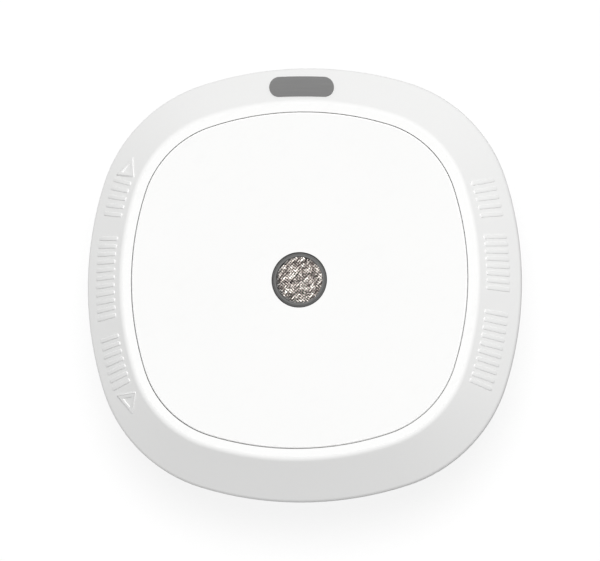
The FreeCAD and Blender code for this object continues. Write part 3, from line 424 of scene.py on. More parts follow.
def wireMetal(name):
    # Drawn wire of the cloth. Its colour in crossing streaks is painted highlight on the wires' backs
    # and painted shade between them, and an uneven darker edge near the collar is painted shade
    s = wireSettings
    finish = Finish(name, s["stops"][2][1], s["roughness"], Metallic=1.0)
    rising = finish.noise(s["streak"], place=finish.drawn(s["turn"], s["stretch"]))
    falling = finish.noise(s["streak"], place=finish.drawn(s["turn"] + math.pi / 2, s["stretch"]))
    streaks = finish.blend(finish.noise(s["patch"]) > s["patchLimit"], falling, rising)
    mixed = finish.noise(s["shadeSize"]) * s["shadeShare"] + streaks * (1 - s["shadeShare"])
    # Painted shade along the cloth's uneven edge under the collar
    sway = (finish.noise(s["collarShadeGrain"]) - 0.5) * s["collarShadeSway"]
    collarShadeAmount = (finish.radius(s["collarShadeCentre"]) + sway - s["collarShadeStart"]) / s["collarShadeWidth"]
    tone = finish.blend(collarShadeAmount.held(), finish.ramp(mixed, s["stops"]), s["paintedEdgeTone"])
    rough = s["roughness"] + s["streakRough"] * falling
    return finish.lay(rising, s["streakDepth"], Base_Color=tone, Roughness=rough)


screenSettings = {
    "pitch": 0.0005,
    "holeTone": (0.03, 0.03, 0.03),
    "wireTone": (0.62, 0.61, 0.6),
    "roughness": 0.6,
    "wireSheen": 0.3,
    "depth": 0.00005,
}


def wovenScreen(name):
    # Band of fine cloth round the chamber, its wires drawn by angle and height
    s = screenSettings
    centre = centreOf("insect_screen")
    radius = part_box("insect_screen")[1].x - centre.x
    finish = Finish(name, s["wireTone"], s["roughness"], Metallic=1.0)
    rate = math.tau / s["pitch"]
    upright = (finish.turnAngle(centre) * (radius * rate)).sine()
    level = (finish.axis("Z") * rate).sine()
    wires = upright.most(level)
    tone = finish.blend(wires, s["holeTone"], s["wireTone"])
    rough = s["roughness"] - s["wireSheen"] * wires
    return finish.lay(wires, s["depth"], Base_Color=tone, Roughness=rough)


canSettings = {
    "cardHeight": 0.0009,
    "cardTone": (0.02, 0.12, 0.05),
    "tones": ((0.56, 0.56, 0.55), (0.70, 0.70, 0.68)),
    "mottleSize": 0.0013,
    "roughness": 0.42,
    "tinSheen": 0.16,
    "lineSize": 0.0006,
    "lineSquash": 0.06,
    "lineRough": 0.12,
    "lineDepth": 0.000006,
}


def shieldCan(name):
    # Tinned can on its small green card
    s = canSettings
    low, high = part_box("radio_module")
    finish = Finish(name, s["tones"][1], s["roughness"])
    tin = (finish.axis("Z") - low.z) > s["cardHeight"]
    brushed = finish.noise(s["lineSize"], detail=3, place=finish.mapped(scale=(s["lineSquash"], 1, 1)))
    metal = finish.blend(finish.cells(s["mottleSize"]), *s["tones"])
    tone = finish.blend(tin, s["cardTone"], metal)
    rough = s["roughness"] - s["tinSheen"] * tin + s["lineRough"] * brushed
    return finish.lay(brushed, s["lineDepth"], Base_Color=tone, Metallic=tin, Roughness=rough)


contactSettings = {
    "tones": ((0.70, 0.67, 0.61), (0.50, 0.47, 0.42)),
    "stainSize": 0.002,
    "roughness": 0.18,
    "scratchSize": 0.0008,
    "scratchSquash": 0.1,
    "scratchRough": 0.2,
    "scratchDepth": 0.000004,
}


def contactMetal(name):
    s = contactSettings
    finish = Finish(name, s["tones"][0], s["roughness"], Metallic=1.0)
    tone = finish.blend(finish.noise(s["stainSize"], detail=3), *s["tones"])
    drawn = finish.mapped(scale=(s["scratchSquash"], 1, 1))
    scratch = finish.noise(s["scratchSize"], detail=3, place=drawn)
    rough = s["roughness"] + s["scratchRough"] * scratch
    return finish.lay(scratch, s["scratchDepth"], Base_Color=tone, Roughness=rough)


discSettings = {
    "brassTones": ((0.80, 0.61, 0.29), (0.62, 0.44, 0.19)),
    "ceramicTone": (0.72, 0.70, 0.62),
    "ceramicRadius": 0.0095,
    "ringRate": 24000,        # radians of the turned rings' wave in a metre
    "ringShare": 0.05,
    "stainSize": 0.003,
    "stainRough": 0.06,
    "roughness": 0.28,
    "ceramicRough": 0.2,
    "depth": 0.00004,
}


def sounderBrass(name):
    # Brass disc with the pale ceramic layer on its middle
    s = discSettings
    finish = Finish(name, s["brassTones"][0], s["roughness"])
    away = finish.radius(centreOf("sounder_disc"))
    ceramic = away < s["ceramicRadius"]
    stain = finish.noise(s["stainSize"], detail=3)
    rings = (away * s["ringRate"]).sine()
    brass = finish.blend(stain, *s["brassTones"])
    tone = finish.blend(ceramic, brass, s["ceramicTone"])
    rough = s["roughness"] + s["ceramicRough"] * ceramic + s["stainRough"] * stain
    height = ceramic + s["ringShare"] * rings
    return finish.lay(height, s["depth"], Base_Color=tone, Metallic=1 - ceramic, Roughness=rough)


capacitorSettings = {
    "tone": (0.74, 0.74, 0.75),
    "darkTone": (0.03, 0.03, 0.035),
    "topDepth": 0.0005,
    "footHeight": 0.0009,
    "stripeStart": 0.0018,
    "scoreReach": 0.00012,
    "roughness": 0.26,
    "lineSize": 0.0004,
    "lineRough": 0.16,
    "lineShare": 0.1,
    "depth": 0.00005,
}


def canAluminium(name):
    # Sleeved can: bare top with a scored cross, dark foot and one dark stripe
    s = capacitorSettings
    centre = centreOf("buffer_capacitor")
    low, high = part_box("buffer_capacitor")
    finish = Finish(name, s["tone"], s["roughness"])
    x = finish.axis("X") - centre.x
    y = finish.axis("Y") - centre.y
    top = finish.axis("Z") > (high.z - s["topDepth"])
    foot = finish.axis("Z") < (low.z + s["footHeight"])
    stripe = (x < -s["stripeStart"]) * (1 - top)
    score = ((abs(x) < s["scoreReach"]) + (abs(y) < s["scoreReach"])) * top
    brushed = finish.noise(s["lineSize"])
    tone = finish.blend(stripe.most(foot), s["tone"], s["darkTone"])
    rough = s["roughness"] + s["lineRough"] * brushed
    height = s["lineShare"] * brushed - score
    return finish.lay(height, s["depth"], Base_Color=tone, Metallic=1 - foot, Roughness=rough)


# Finishes of the electronics and the cells

boardSettings = {
    "tones": ((0.012, 0.115, 0.048), (0.02, 0.15, 0.065)),
    "trackTone": (0.035, 0.23, 0.10),
    "viaTone": (0.72, 0.52, 0.3),
    "laneTurn": math.pi / 4,
    "laneLength": 0.009,
    "lanePitch": 0.0016,
    "laneWidth": 0.00018,
    "viaSpacing": 0.0042,
    "viaShare": 0.09,
    "index": 1.5,
    "coat": 0.35,
    "roughness": 0.3,
    "weaveSize": 0.0007,
    "weaveRough": 0.08,
    "raised": 0.5,
    "depth": 0.00003,
}


def solderMask(name):
    # Green board with paler tracks and copper vias
    s = boardSettings
    finish = Finish(name, s["tones"][1], s["roughness"], IOR=s["index"], Coat_Weight=s["coat"])
    brick = {
        "Vector": finish.mapped(turn=(0, 0, s["laneTurn"]), scale=(1, 1, 0)),
        "Scale": 1.0,
        "Brick Width": s["laneLength"],
        "Row Height": s["lanePitch"],
        "Mortar Size": s["laneWidth"],
    }
    lanes = finish.node("ShaderNodeTexBrick", None, brick, "Fac")
    via = finish.cells(s["viaSpacing"], finish.mapped(scale=(1, 1, 0))) < s["viaShare"]
    weave = finish.noise(s["weaveSize"])
    ground = finish.blend(weave, *s["tones"])
    tone = finish.blend(via, finish.blend(lanes, ground, s["trackTone"]), s["viaTone"])
    rough = s["roughness"] + s["weaveRough"] * weave
    height = lanes * s["raised"] + via * s["raised"]
    return finish.lay(height, s["depth"], Base_Color=tone, Metallic=via, Roughness=rough)


chipSettings = {
    "tone": (0.022, 0.022, 0.024),
    "dotTone": (0.05, 0.05, 0.05),
    "dotInset": 0.0012,
    "dotRadius": 0.0005,
    "roughness": 0.45,
    "grainSize": 0.00015,
    "grainRough": 0.2,
    "grainShare": 0.2,
    "depth": 0.00006,
}


def chipEpoxy(name):
    # Matt epoxy with a moulded corner dot
    s = chipSettings
    low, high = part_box("controller_chip")
    finish = Finish(name, s["tone"], s["roughness"])
    dot = finish.radius((low.x + s["dotInset"], high.y - s["dotInset"])) < s["dotRadius"]
    grain = finish.noise(s["grainSize"])
    tone = finish.blend(dot, s["tone"], s["dotTone"])
    rough = s["roughness"] + s["grainRough"] * grain
    return finish.lay(s["grainShare"] * grain - dot, s["depth"], Base_Color=tone, Roughness=rough)


lensSettings = {
    "tone": (0.012, 0.010, 0.016),
    "index": 1.52,
    "roughness": 0.08,
    "grainSize": 0.0008,
    "grainRough": 0.1,
    "grainDepth": 0.000006,
}


def darkLens(name):
    # Receiver's moulding, nearly black, which lets infrared through
    s = lensSettings
    finish = Finish(name, s["tone"], s["roughness"], IOR=s["index"])
    grain = finish.noise(s["grainSize"])
    return finish.lay(grain, s["grainDepth"], Roughness=s["roughness"] + s["grainRough"] * grain)


beadSettings = {
    "glassTone": (0.02, 0.028, 0.035),
    "leadTone": (0.6, 0.58, 0.55),
    "beadHeight": 0.0024,
    "roughness": 0.32,
    "glassSheen": 0.2,
    "grainSize": 0.0004,
    "grainRough": 0.1,
    "grainDepth": 0.000006,
}


def beadGlass(name):
    # Glazed bead on bare leads
    s = beadSettings
    low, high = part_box("thermistor")
    finish = Finish(name, s["glassTone"], s["roughness"])
    bead = finish.axis("Z") > (high.z - s["beadHeight"])
    grain = finish.noise(s["grainSize"])
    tone = finish.blend(bead, s["leadTone"], s["glassTone"])
    rough = s["roughness"] - s["glassSheen"] * bead + s["grainRough"] * grain
    return finish.lay(grain, s["grainDepth"], Base_Color=tone, Metallic=1 - bead, Roughness=rough)


resinSettings = {
    "tints": {"guideClear": (0.93, 0.95, 0.97), "emitterClear": (0.80, 0.86, 0.95)},
    "index": 1.5,
    "clearness": 0.9,
    "roughness": 0.04,
    "flowSize": 0.0015,
    "flowRough": 0.1,
    "flowDepth": 0.000008,
}


def clearResin(name):
    s = resinSettings
    clear = {"IOR": s["index"], "Transmission_Weight": s["clearness"]}
    finish = Finish(name, s["tints"][name], s["roughness"], **clear)
    flow = finish.noise(s["flowSize"])
    return finish.lay(flow, s["flowDepth"], Roughness=s["roughness"] + s["flowRough"] * flow)


ledSettings = {
    "caseTone": (0.85, 0.85, 0.82),
    "windowTone": (0.80, 0.62, 0.16),
    "windowReach": (0.0010, 0.0006),
    "roughness": 0.4,
    "windowSheen": 0.25,
    "grainSize": 0.0002,
    "grainRough": 0.08,
    "depth": 0.00003,
}


def ledBody(name):
    # White case with the yellow window in its middle
    s = ledSettings
    centre = centreOf("status_led")
    finish = Finish(name, s["caseTone"], s["roughness"])
    across = abs(finish.axis("X") - centre.x) < s["windowReach"][0]
    window = across * (abs(finish.axis("Y") - centre.y) < s["windowReach"][1])
    grain = finish.noise(s["grainSize"])
    tone = finish.blend(window, s["caseTone"], s["windowTone"])
    rough = s["roughness"] - s["windowSheen"] * window + s["grainRough"] * grain
    return finish.lay(grain - window, s["depth"], Base_Color=tone, Roughness=rough)


cellSettings = {
    "sleeveTone": (0.045, 0.05, 0.065),
    "bandTone": (0.62, 0.36, 0.12),
    "bareTone": (0.68, 0.68, 0.68),
    "nubLength": 0.0016,
    "flatLength": 0.0004,
    "bandStart": 0.0045,
    "bandEnd": 0.0085,
    "roughness": 0.22,
    "wrinkleSize": 0.003,
    "wrinkleSquash": 0.2,
    "wrinkleRough": 0.14,
    "wrinkleDepth": 0.00002,
}


def cellSleeve(name, node, side):
    # Shrunk sleeve, dark with one plain band, and bare metal at both ends. The nub is at +Y with
    # a side of 1, and at -Y with -1.
    s = cellSettings
    low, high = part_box(node)
    middle = (low.y + high.y) / 2
    reach = (high.y - low.y) / 2
    finish = Finish(name, s["sleeveTone"], s["roughness"])
    along = (finish.axis("Y") - middle) * side
    bare = (along > (reach - s["nubLength"])).most(along < (s["flatLength"] - reach))
    band = (along > s["bandStart"]) * (along < s["bandEnd"])
    drawn = finish.mapped(scale=(1, s["wrinkleSquash"], 1))
    wrinkle = finish.noise(s["wrinkleSize"], detail=3, place=drawn)
    sleeve = finish.blend(band, s["sleeveTone"], s["bandTone"])
    tone = finish.blend(bare, sleeve, s["bareTone"])
    rough = s["roughness"] + s["wrinkleRough"] * wrinkle
    return finish.lay(wrinkle, s["wrinkleDepth"], Base_Color=tone, Metallic=bare, Roughness=rough)


# The CAD nodes' own finishes

dress(whitePlastic("coverWhite"), "front_cover")
dress(whitePlastic("plateWhite"), "front_plate")
dress(whitePlastic("baseWhite"), "mounting_base")
dress(ventedPlastic("shellWhite"), "rear_housing")
dress(slidingPlastic("plungerWhite"), "tamper_plunger")
dress(collarPlastic("collarGrey"), "sensor_nose")
dress(blackPlastic("chamberBlack"), "chamber_base", "chamber_cover")
dress(blackPlastic("sounderBlack"), "sounder_housing")
dress(blackPlastic("switchBlack"), "test_switch", "tamper_switch")
dress(blackPlastic("capGrey"), "test_switch_cap", "tamper_switch_cap")
dress(wovenScreen("screenCloth"), "insect_screen")
dress(shieldCan("tinnedCan"), "radio_module")
dress(contactMetal("nickelContact"), "contact_plates", "contact_springs")
dress(brushedSteel("leafSteel"), "button_springs", "antenna")
dress(brushedSteel("screwSteel"), "board_screws", "housing_screws")
dress(sounderBrass("sounderBrass"), "sounder_disc")
dress(canAluminium("capacitorCan"), "buffer_capacitor")
dress(solderMask("boardGreen"), "main_board")
dress(chipEpoxy("chipEpoxy"), "controller_chip")
dress(darkLens("receiverDark"), "photodiode")
dress(beadGlass("beadGlass"), "thermistor")
dress(clearResin("guideClear"), "light_guide")
dress(clearResin("emitterClear"), "infrared_emitter")
dress(ledBody("ledCase"), "status_led")
dress(cellSleeve("sleeveLeft", "battery_left", side=-1), "battery_left")
dress(cellSleeve("sleeveRight", "battery_right", side=1), "battery_right")
print("CAD nodes dressed")


# Modelling helpers

def clearSelection():
    if bpy.context.object and bpy.context.object.mode != "OBJECT":
        bpy.ops.object.mode_set(mode="OBJECT")
    bpy.ops.object.select_all(action="DESELECT")


def pick(*pieces):
    clearSelection()
    for piece in pieces:
        piece.select_set(True)
    bpy.context.view_layer.objects.active = pieces[0]


def editMesh():
    bpy.ops.object.mode_set(mode="EDIT")
    bpy.ops.mesh.select_all(action="SELECT")
    return bmesh.from_edit_mesh(bpy.context.object.data)


def leaveEdit():
    bpy.ops.object.mode_set(mode="OBJECT")


def selectEdges(mesh, test):
    bpy.ops.mesh.select_mode(type="EDGE")
    for edge in mesh.edges:
        edge.select_set(test(edge))
    bmesh.update_edit_mesh(bpy.context.object.data)


def pulled(x, y, z):
    # Extrudes what is selected
    bpy.ops.mesh.extrude_region_move(TRANSFORM_OT_translate={"value": (x, y, z)})


def applied(piece, kind, **settings):
    pick(piece)
    modifier = piece.modifiers.new(kind.lower(), kind)
    for name, value in settings.items():
        setattr(modifier, name, value)
    bpy.ops.object.modifier_apply(modifier=modifier.name)


def settle(piece):
    # The finished piece's place goes into its mesh
    pick(piece)
    bpy.ops.object.transform_apply(location=True, rotation=True, scale=True)


def copied(piece):
    pick(piece)
    bpy.ops.object.duplicate(linked=False)
    return bpy.context.object


def joined(name, pieces):
    pick(*pieces)
    bpy.ops.object.join()
    bpy.context.object.name = name
    bpy.context.object.data.name = name
    return bpy.context.object


def outward():
    bpy.ops.mesh.select_all(action="SELECT")
    bpy.ops.mesh.remove_doubles(threshold=tolerance)
    bpy.ops.mesh.normals_make_consistent(inside=False)


def painted(piece, finish):
    piece.data.materials.clear()
    piece.data.materials.append(finish.material)


# Wire cloth behind the collar, with its folded rim

clothSettings = {
    "pitch": 0.00057,
    "wire": 0.0003,
    "wave": 0.0001,           # height of a crossing above the middle, or below it
    "sides": 6,
    "stepsPerPitch": 2,
    "repeat": 4,              # wires after which the weave starts again
    "turn": math.radians(50),
    "margin": 0.00006,
    "crumple": 0.0005,
    "crumpleSize": 0.0013,
    "smoothAngle": math.radians(50),
}


def crimpedWire(length, side):
    # One wire along X, drawn step by step: over two crossing wires, then under two
    s = clothSettings
    steps = round(length / s["pitch"] * s["stepsPerPitch"])
    run = length / steps
    quarter = math.pi / 2
    # A crest is between two crossings, and stands higher than the wire does at these
    crest = side * s["wave"] * math.sqrt(2)
    turns = [step * run / s["pitch"] * quarter - quarter / 2 for step in range(steps + 1)]
    rise = [crest * math.cos(turn) for turn in turns]
    clearSelection()
    bpy.ops.mesh.primitive_circle_add(
        vertices=s["sides"],
        radius=s["wire"] / 2,
        fill_type="NGON",
        location=(-length / 2, 0, rise[0]),
        rotation=(0, math.pi / 2, 0),
    )
    wire = bpy.context.object
    settle(wire)
    editMesh()
    for step in range(steps):
        pulled(run, 0, rise[step + 1] - rise[step])
    outward()
    leaveEdit()
    return wire


def cutToChord(wire, axis, reach):
    # Cuts both ends of the wire off at the rim
    pick(wire)
    for side in (1, -1):
        editMesh()
        normal = [0, 0, 0]
        normal[axis] = side
        point = [0, 0, 0]
        point[axis] = side * reach
        bpy.ops.mesh.bisect(plane_co=point, plane_no=normal, use_fill=True, clear_outer=True)
        leaveEdit()


def wovenCloth():
    s = clothSettings
    low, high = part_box("sensor_mesh")
    centre = (low + high) / 2
    radius = (high.x - low.x) / 2 - s["margin"]
    rows = int(radius / s["pitch"])
    repeats = math.ceil((rows + s["repeat"]) / s["repeat"])
    length = 2 * s["pitch"] * s["repeat"] * repeats
    wires = []
    for axis, side in ((0, 1), (1, -1)):
        first = crimpedWire(length, side)
        if axis == 1:
            first.rotation_euler = (0, 0, math.pi / 2)
            settle(first)
        for row in range(-rows, rows + 1):
            wire = copied(first)
            move = [0, 0, 0]
            move[1 - axis] = row * s["pitch"]
            move[axis] = -(row % s["repeat"]) * s["pitch"]
            wire.location = move
            settle(wire)
            cutToChord(wire, axis, math.sqrt(radius**2 - (row * s["pitch"]) ** 2))
            wires.append(wire)
        bpy.data.objects.remove(first)
    cloth = joined("sensor_cloth", wires)
    cloth.rotation_euler = (0, 0, s["turn"])
    cloth.location = (centre.x, centre.y, low.z + s["wave"] + s["wire"] / 2)
    settle(cloth)
    clouds = bpy.data.textures.new("crumple", "CLOUDS")
    clouds.noise_scale = s["crumpleSize"]
    applied(
        cloth,
        "DISPLACE",
        texture=clouds,
        texture_coords="LOCAL",
        direction="Z",
        strength=s["crumple"],
        mid_level=0.0,
    )
    bpy.ops.object.shade_smooth_by_angle(angle=s["smoothAngle"])
    return cloth


rimSettings = {
    "sides": 96,
    "width": 0.00016,
    "height": 0.00034,
    "round": 0.00006,
    "segments": 3,
    "smoothAngle": math.radians(40),
}


def foldedRim():
    # Thin folded edge that holds the wires' ends on their seat
    s = rimSettings
    low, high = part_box("sensor_mesh")
    radius = (high.x - low.x) / 2
    clearSelection()
    bpy.ops.mesh.primitive_circle_add(vertices=s["sides"], radius=radius, location=(0, 0, low.z))
    rim = bpy.context.object
    settle(rim)
    mesh = editMesh()
    pulled(0, 0, s["height"])
    pulled(0, 0, 0)
    inward = (radius - s["width"]) / radius
    bpy.ops.transform.resize(value=(inward, inward, 1), center_override=(0, 0, low.z))
    pulled(0, 0, -s["height"])
    selectEdges(mesh, lambda edge: all(abs(v.co.z - low.z) < tolerance for v in edge.verts))
    bpy.ops.mesh.bridge_edge_loops()
    outward()
    top = low.z + s["height"] - tolerance
    selectEdges(
        mesh,
        lambda edge: all(v.co.z > top for v in edge.verts)
        and abs(edge.verts[0].co.xy.length - edge.verts[1].co.xy.length) < tolerance,
    )
    bpy.ops.mesh.bevel(offset=s["round"], segments=s["segments"], affect="EDGES")
    leaveEdit()
    bpy.ops.object.shade_smooth_by_angle(angle=s["smoothAngle"])
    rim.name = "sensor_cloth_rim"
    return rim


cloth = wovenCloth()
painted(cloth, wireMetal("clothWire"))
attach(cloth, "head")
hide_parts("sensor_mesh")

rim = foldedRim()
painted(rim, brushedSteel("rimSteel"))
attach(rim, "head")
print("wire cloth woven:", len(cloth.data.polygons), "faces")


# The front cover's band: the cover's own values, with its size from the CAD model's box

bandSettings = {
    "sideRadius": 0.0911,       # of the widest outline, as the next one is
    "cornerRadius": 0.0395,
    "slope": math.radians(46.6),
    "rimRound": 0.0018,
    "lipInset": 0.01293,
    "lipWidth": 0.0021,
    "lipRound": 0.0016,
}


def bandPlace(side, along, up):
    # Frame of a point on the sloping band. side is the azimuth of the side's middle, along the
    # distance from it on the widest outline, and up the distance up the slope from its foot.
    s = bandSettings
    low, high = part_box("front_cover")
    half = (high.x - low.x) / 2
    sideCentre = half - s["sideRadius"]
    gap = s["sideRadius"] - s["cornerRadius"]
    cornerCentre = sideCentre / 2 + math.sqrt(gap**2 / 2 - sideCentre**2 / 4)
    junction = math.atan2(cornerCentre, cornerCentre - sideCentre)
    angle = abs(along) / s["sideRadius"]
    centre = Vector((sideCentre, 0, 0))
    radius = s["sideRadius"]
    if angle > junction:
        angle = junction + (abs(along) - junction * s["sideRadius"]) / s["cornerRadius"]
        centre = Vector((cornerCentre, math.copysign(cornerCentre, along), 0))
        radius = s["cornerRadius"]
    angle = math.copysign(angle, along)
    rise = math.sin(s["slope"])
    run = math.cos(s["slope"])
    footInset = s["rimRound"] * (1 - rise)
    start = half - s["lipInset"] + s["lipWidth"] + s["lipRound"] * rise
    slopeWidth = half - footInset - start
    top = high.z - s["lipRound"] * (1 - run)
    foot = top - slopeWidth * math.tan(s["slope"])
    out = Vector((math.cos(angle), math.sin(angle), 0))
    point = centre + out * (radius - footInset - up * run)
    point.z = foot + up * rise
    climb = Vector((-out.x * run, -out.y * run, rise))
    normal = Vector((out.x * rise, out.y * rise, run))
    placed = Matrix((climb.cross(normal), climb, normal)).transposed().to_4x4()
    placed.translation = point
    return Matrix.Rotation(side, 4, "Z") @ placed


# Plain raised marks on the left and right of the band

markSettings = {
    "stroke": 0.0011,
    "length": 0.0082,
    "crest": 0.00026,
    "sink": 0.00012,
    "round": 0.00024,
    "roundSegments": 4,
    "endShare": 0.45,         # of the stroke, rounded at a bar's ends
    "endSegments": 4,
    "cornerShare": 0.4,       # of the stroke, rounded at an arrow's corners
    "cornerSegments": 3,
    "flatFacing": 0.5,        # a face that faces up or down more than this is flat
    "smoothAngle": math.radians(60),
    "middle": 0.0074,         # up the slope
    "arrowWidth": 0.0081,
    "arrowLength": 0.0057,
    # Each arrow's place and turn, and each group's first bar, last bar and number of bars
    "arrows": ((0.0347, math.radians(10)), (-0.0353, math.radians(-18))),
    "leftGroups": ((-0.0296, -0.0199, 5), (-0.0130, 0.0093, 11), (0.0153, 0.0288, 7)),
    "rightGroups": ((0.0279, 0.0183, 5), (0.0120, -0.0026, 8), (-0.0096, -0.0302, 10)),
}


def upright(edge):
    return abs(edge.verts[0].co.z - edge.verts[1].co.z) > tolerance


def crestEdge(edge):
    # On the rim of the top face
    s = markSettings
    flat = [face for face in edge.link_faces if abs(face.normal.z) > s["flatFacing"]]
    return all(v.co.z > s["crest"] - tolerance for v in edge.verts) and len(flat) == 1


def softened(mesh, share, segments):
    # Rounds the upright corners and then the upper edges of a raised mark
    s = markSettings
    selectEdges(mesh, upright)
    bpy.ops.mesh.bevel(offset=s["stroke"] * share, segments=segments, affect="EDGES")
    selectEdges(mesh, crestEdge)
    bpy.ops.mesh.bevel(offset=s["round"], segments=s["roundSegments"], affect="EDGES")
    leaveEdit()
    bpy.ops.object.shade_smooth_by_angle(angle=s["smoothAngle"])


def ridge():
    # One raised bar, upright along Y, its foot a little under the surface
    s = markSettings
    clearSelection()
    bpy.ops.mesh.primitive_cube_add(size=1, location=(0, 0, 0))
    bar = bpy.context.object
    bar.scale = (s["stroke"], s["length"], s["crest"] + s["sink"])
    bar.location = (0, 0, (s["crest"] - s["sink"]) / 2)
    settle(bar)
    softened(editMesh(), s["endShare"], s["endSegments"])
    return bar


def hollowArrow(direction):
    # Raised outline of a triangle that points along X, with the middle of its length at the origin
    s = markSettings
    side = s["arrowWidth"]
    reach = side / math.sqrt(3)
    clearSelection()
    bpy.ops.mesh.primitive_circle_add(
        vertices=3,
        radius=reach,
        fill_type="NGON",
        location=(-reach / 4 * direction, 0, -s["sink"]),
        rotation=(0, 0, -direction * math.pi / 2),
    )
    arrow = bpy.context.object
    settle(arrow)
    arrow.scale.x = s["arrowLength"] / (side * math.sqrt(3) / 2)
    settle(arrow)
    editMesh()
    bpy.ops.mesh.inset(thickness=s["stroke"])
    bpy.ops.mesh.delete(type="FACE")
    bpy.ops.mesh.select_all(action="SELECT")
    pulled(0, 0, s["crest"] + s["sink"])
    outward()
    softened(bmesh.from_edit_mesh(arrow.data), s["cornerShare"], s["cornerSegments"])
    return arrow


def markGroups(name, side, groups):
    pattern = ridge()
    marks = []
    for first, last, count in groups:
        for number in range(count):
            along = first + (last - first) * number / (count - 1)
            mark = copied(pattern)
            mark.matrix_world = bandPlace(side, along, markSettings["middle"])
            settle(mark)
            marks.append(mark)
    bpy.data.objects.remove(pattern)
    return joined(name, marks)


def turnArrows(name):
    # One points up and one down along the left of the band
    s = markSettings
    marks = []
    for up, turn in s["arrows"]:
        arrow = hollowArrow(-math.copysign(1, up))
        arrow.matrix_world = bandPlace(math.pi, -up, s["middle"]) @ Matrix.Rotation(turn, 4, "Z")
        settle(arrow)
        marks.append(arrow)
    return joined(name, marks)


markFinish = whitePlastic("markWhite")
marks = (
    markGroups("left_marks", math.pi, markSettings["leftGroups"]),
    markGroups("right_marks", 0.0, markSettings["rightGroups"]),
    turnArrows("turn_arrows"),
)
for piece in marks:
    painted(piece, markFinish)
    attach(piece, "head")
print("raised marks placed")


# The photograph's camera

cameraSettings = {
    "tilt": math.radians(6.6),        # to the face's right, and as much down
    "distance": 3.0,
    "pixelsPerMetre": 3797,
    "rimDepth": 0.0114,
    "pictureWidth": 600,
    "pictureHeight": 561,
    "plateX": 299.2,
    "plateY": 279.8,
    "sensorWidth": 36,
    "clip": (0.1, 20),
}


def sightAxes():
    # Right, up and backward of the camera
    tilt = math.tan(cameraSettings["tilt"])
    back = Vector((tilt, -tilt, 1)).normalized()
    right = Vector((0, 1, 0)).cross(back).normalized()
    return right, back.cross(right), back


def photographCamera():
    s = cameraSettings
    plate = Vector((0, 0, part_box("front_plate")[1].z))
    right, up, back = sightAxes()
    offRight = (s["plateX"] - s["pictureWidth"] / 2) / s["pixelsPerMetre"]
    offUp = (s["pictureHeight"] / 2 - s["plateY"]) / s["pixelsPerMetre"]
    aim = plate - right * offRight - up * offUp
    data = bpy.data.cameras.new("photographCamera")
    data.sensor_width = s["sensorWidth"]
    depth = s["distance"] + s["rimDepth"]
    data.lens = s["pixelsPerMetre"] * depth * s["sensorWidth"] / s["pictureWidth"]
    data.clip_start, data.clip_end = s["clip"]
    camera = bpy.data.objects.new("photographCamera", data)
    turned = Matrix((right, up, back)).transposed().to_4x4()
    camera.matrix_world = Matrix.Translation(aim + back * s["distance"]) @ turned
    bpy.context.scene.collection.objects.link(camera)
    bpy.context.scene.camera = camera


photographCamera()


# Bare grey badge plate on the top of the band

badgeSettings = {
    "length": 0.0170,
    "height": 0.0052,
    "endShare": 0.498,        # of the height, rounded at both ends
    "endSegments": 14,
    "bend": 0.15,             # radius
    "centreY": 0.05175,
    "centreZ": 0.0380,
    "distance": 0.02,         # in front of that centre, before it is laid on
    "cut": 0.0007,            # between two cuts across
    "rise": 0.00028,
    "sink": 0.00005,
    "round": 0.0001,
    "roundSegments": 2,
    "sharpAngle": math.radians(50),
    "smoothAngle": math.radians(40),
    "tone": (0.16, 0.16, 0.159),
    "paleTone": (0.205, 0.205, 0.203),
    "index": 1.5,
    "roughness": 0.34,
    "grainSize": 0.00022,
    "grainRough": 0.16,
    "lineSize": 0.0012,
    "lineSquash": 0.08,
    "depth": 0.000006,
}


def badgeFinish(name):
    s = badgeSettings
    finish = Finish(name, s["tone"], s["roughness"], IOR=s["index"])
    grain = finish.noise(s["grainSize"])
    brushed = finish.noise(s["lineSize"], detail=3, place=finish.mapped(scale=(s["lineSquash"], 1, 1)))
    tone = finish.blend(brushed, s["tone"], s["paleTone"])
    rough = s["roughness"] + s["grainRough"] * grain
    return finish.lay(grain + brushed, s["depth"], Base_Color=tone, Roughness=rough)


def badgePlate():
    # Flat pill, cut across and bent along the band, laid on the cover along the photograph's
    # line of sight, and thickened
    s = badgeSettings
    clearSelection()
    bpy.ops.mesh.primitive_plane_add(size=1)
    plate = bpy.context.object
    plate.scale = (s["length"], s["height"], 1)
    settle(plate)
    editMesh()
    bpy.ops.mesh.bevel(offset=s["height"] * s["endShare"], segments=s["endSegments"], affect="VERTICES")
    cuts = int(s["length"] / s["cut"] / 2)
    for number in range(-cuts, cuts + 1):
        bpy.ops.mesh.select_all(action="SELECT")
        bpy.ops.mesh.bisect(plane_co=(number * s["cut"], 0, 0), plane_no=(1, 0, 0))
    leaveEdit()
    for corner in plate.data.vertices:
        corner.co.y -= corner.co.x ** 2 / s["bend"] / 2
    axes = sightAxes()
    plate.matrix_world = Matrix(axes).transposed().to_4x4()
    plate.location = Vector((0, s["centreY"], s["centreZ"])) + axes[2] * s["distance"]
    applied(
        plate,
        "SHRINKWRAP",
        target=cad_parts["front_cover"],
        wrap_method="PROJECT",
        use_project_z=True,
        use_negative_direction=True,
        use_positive_direction=False,
        offset=-s["sink"],
    )
    settle(plate)
    applied(plate, "SOLIDIFY", thickness=s["rise"] + s["sink"], offset=1.0)
    applied(
        plate,
        "BEVEL",
        width=s["round"],
        segments=s["roundSegments"],
        limit_method="ANGLE",
        angle_limit=s["sharpAngle"],
    )
    bpy.ops.object.shade_smooth_by_angle(angle=s["smoothAngle"])
    plate.name = "badge_plate"
    return plate


badge = badgePlate()
painted(badge, badgeFinish("badgeGrey"))
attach(badge, "head")
print("badge laid on")


# Floor and light

lightSettings = {
    "world": 0.29,
    "sun": (0.078, 0.168, 0.775),
    "sunAngle": math.radians(28),
    "sunDistance": 2,
}

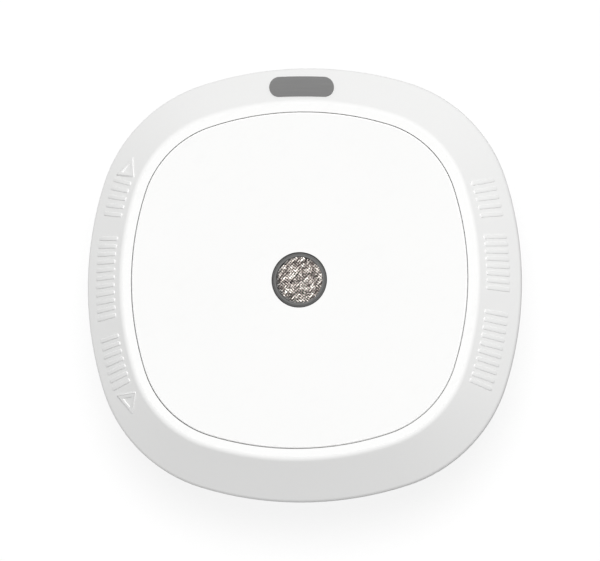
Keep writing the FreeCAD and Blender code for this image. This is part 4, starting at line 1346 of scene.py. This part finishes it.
floorSettings = {
    "tone": (0.6, 0.6, 0.6),
    "seenTone": (1.0, 1.0, 1.0),
    "glow": 0.85,
    "roughness": 0.9,
    "radius": 6.0,
    "sides": 96,
    "drop": 0.0002,
}

seenRays = ("Is Camera Ray", "Is Glossy Ray", "Is Transmission Ray")


def paleFloor():
    # White where it is seen or mirrored, grey in the light that it throws back
    s = floorSettings
    clearSelection()
    bpy.ops.mesh.primitive_circle_add(
        vertices=s["sides"],
        radius=s["radius"],
        fill_type="NGON",
        location=(0, 0, -s["drop"]),
    )
    floor = bpy.context.object
    floor.name = "floor"
    finish = Finish("floorPale", s["tone"], s["roughness"], Specular_IOR_Level=0.0)
    camera, glossy, through = [finish.node("ShaderNodeLightPath", output=ray) for ray in seenRays]
    seen = (camera + glossy + through).held()
    tone = finish.blend(seen, s["tone"], s["seenTone"])
    finish.feed(finish.shader.inputs["Base Color"], tone)
    glow = finish.node("ShaderNodeEmission", None, {"Color": (1, 1, 1, 1), "Strength": 1.0})
    surface = Amount(finish, finish.shader.outputs[0])
    mixed = finish.node("ShaderNodeMixShader", None, {0: seen * s["glow"], 1: surface, 2: glow})
    finish.feed(finish.tree.nodes["Material Output"].inputs["Surface"], mixed)
    painted(floor, finish)


def paleWorld():
    # White where it is seen or mirrored, and a plain soft light elsewhere
    world = bpy.data.worlds.new("paleWorld")
    bpy.context.scene.world = world
    world.use_nodes = True
    tree = world.node_tree
    back = tree.nodes["Background"]
    back.inputs["Color"].default_value = (1, 1, 1, 1)
    path = tree.nodes.new("ShaderNodeLightPath")
    seen = path.outputs[seenRays[0]]
    for ray in seenRays[1:]:
        most = tree.nodes.new("ShaderNodeMath")
        most.operation = "MAXIMUM"
        tree.links.new(seen, most.inputs[0])
        tree.links.new(path.outputs[ray], most.inputs[1])
        seen = most.outputs[0]
    span = tree.nodes.new("ShaderNodeMapRange")
    span.inputs["To Min"].default_value = lightSettings["world"]
    span.inputs["To Max"].default_value = 1.0
    tree.links.new(seen, span.inputs["Value"])
    tree.links.new(span.outputs["Result"], back.inputs["Strength"])


def softSun():
    s = lightSettings
    direction = Vector(s["sun"])
    clearSelection()
    bpy.ops.object.light_add(type="SUN", location=direction.normalized() * s["sunDistance"])
    sun = bpy.context.object
    sun.rotation_euler = direction.to_track_quat("Z", "Y").to_euler()
    sun.data.energy = direction.length * math.pi
    sun.data.angle = s["sunAngle"]


paleFloor()
paleWorld()
softSun()
bpy.context.scene.view_settings.view_transform = "Standard"
print("lit and framed")
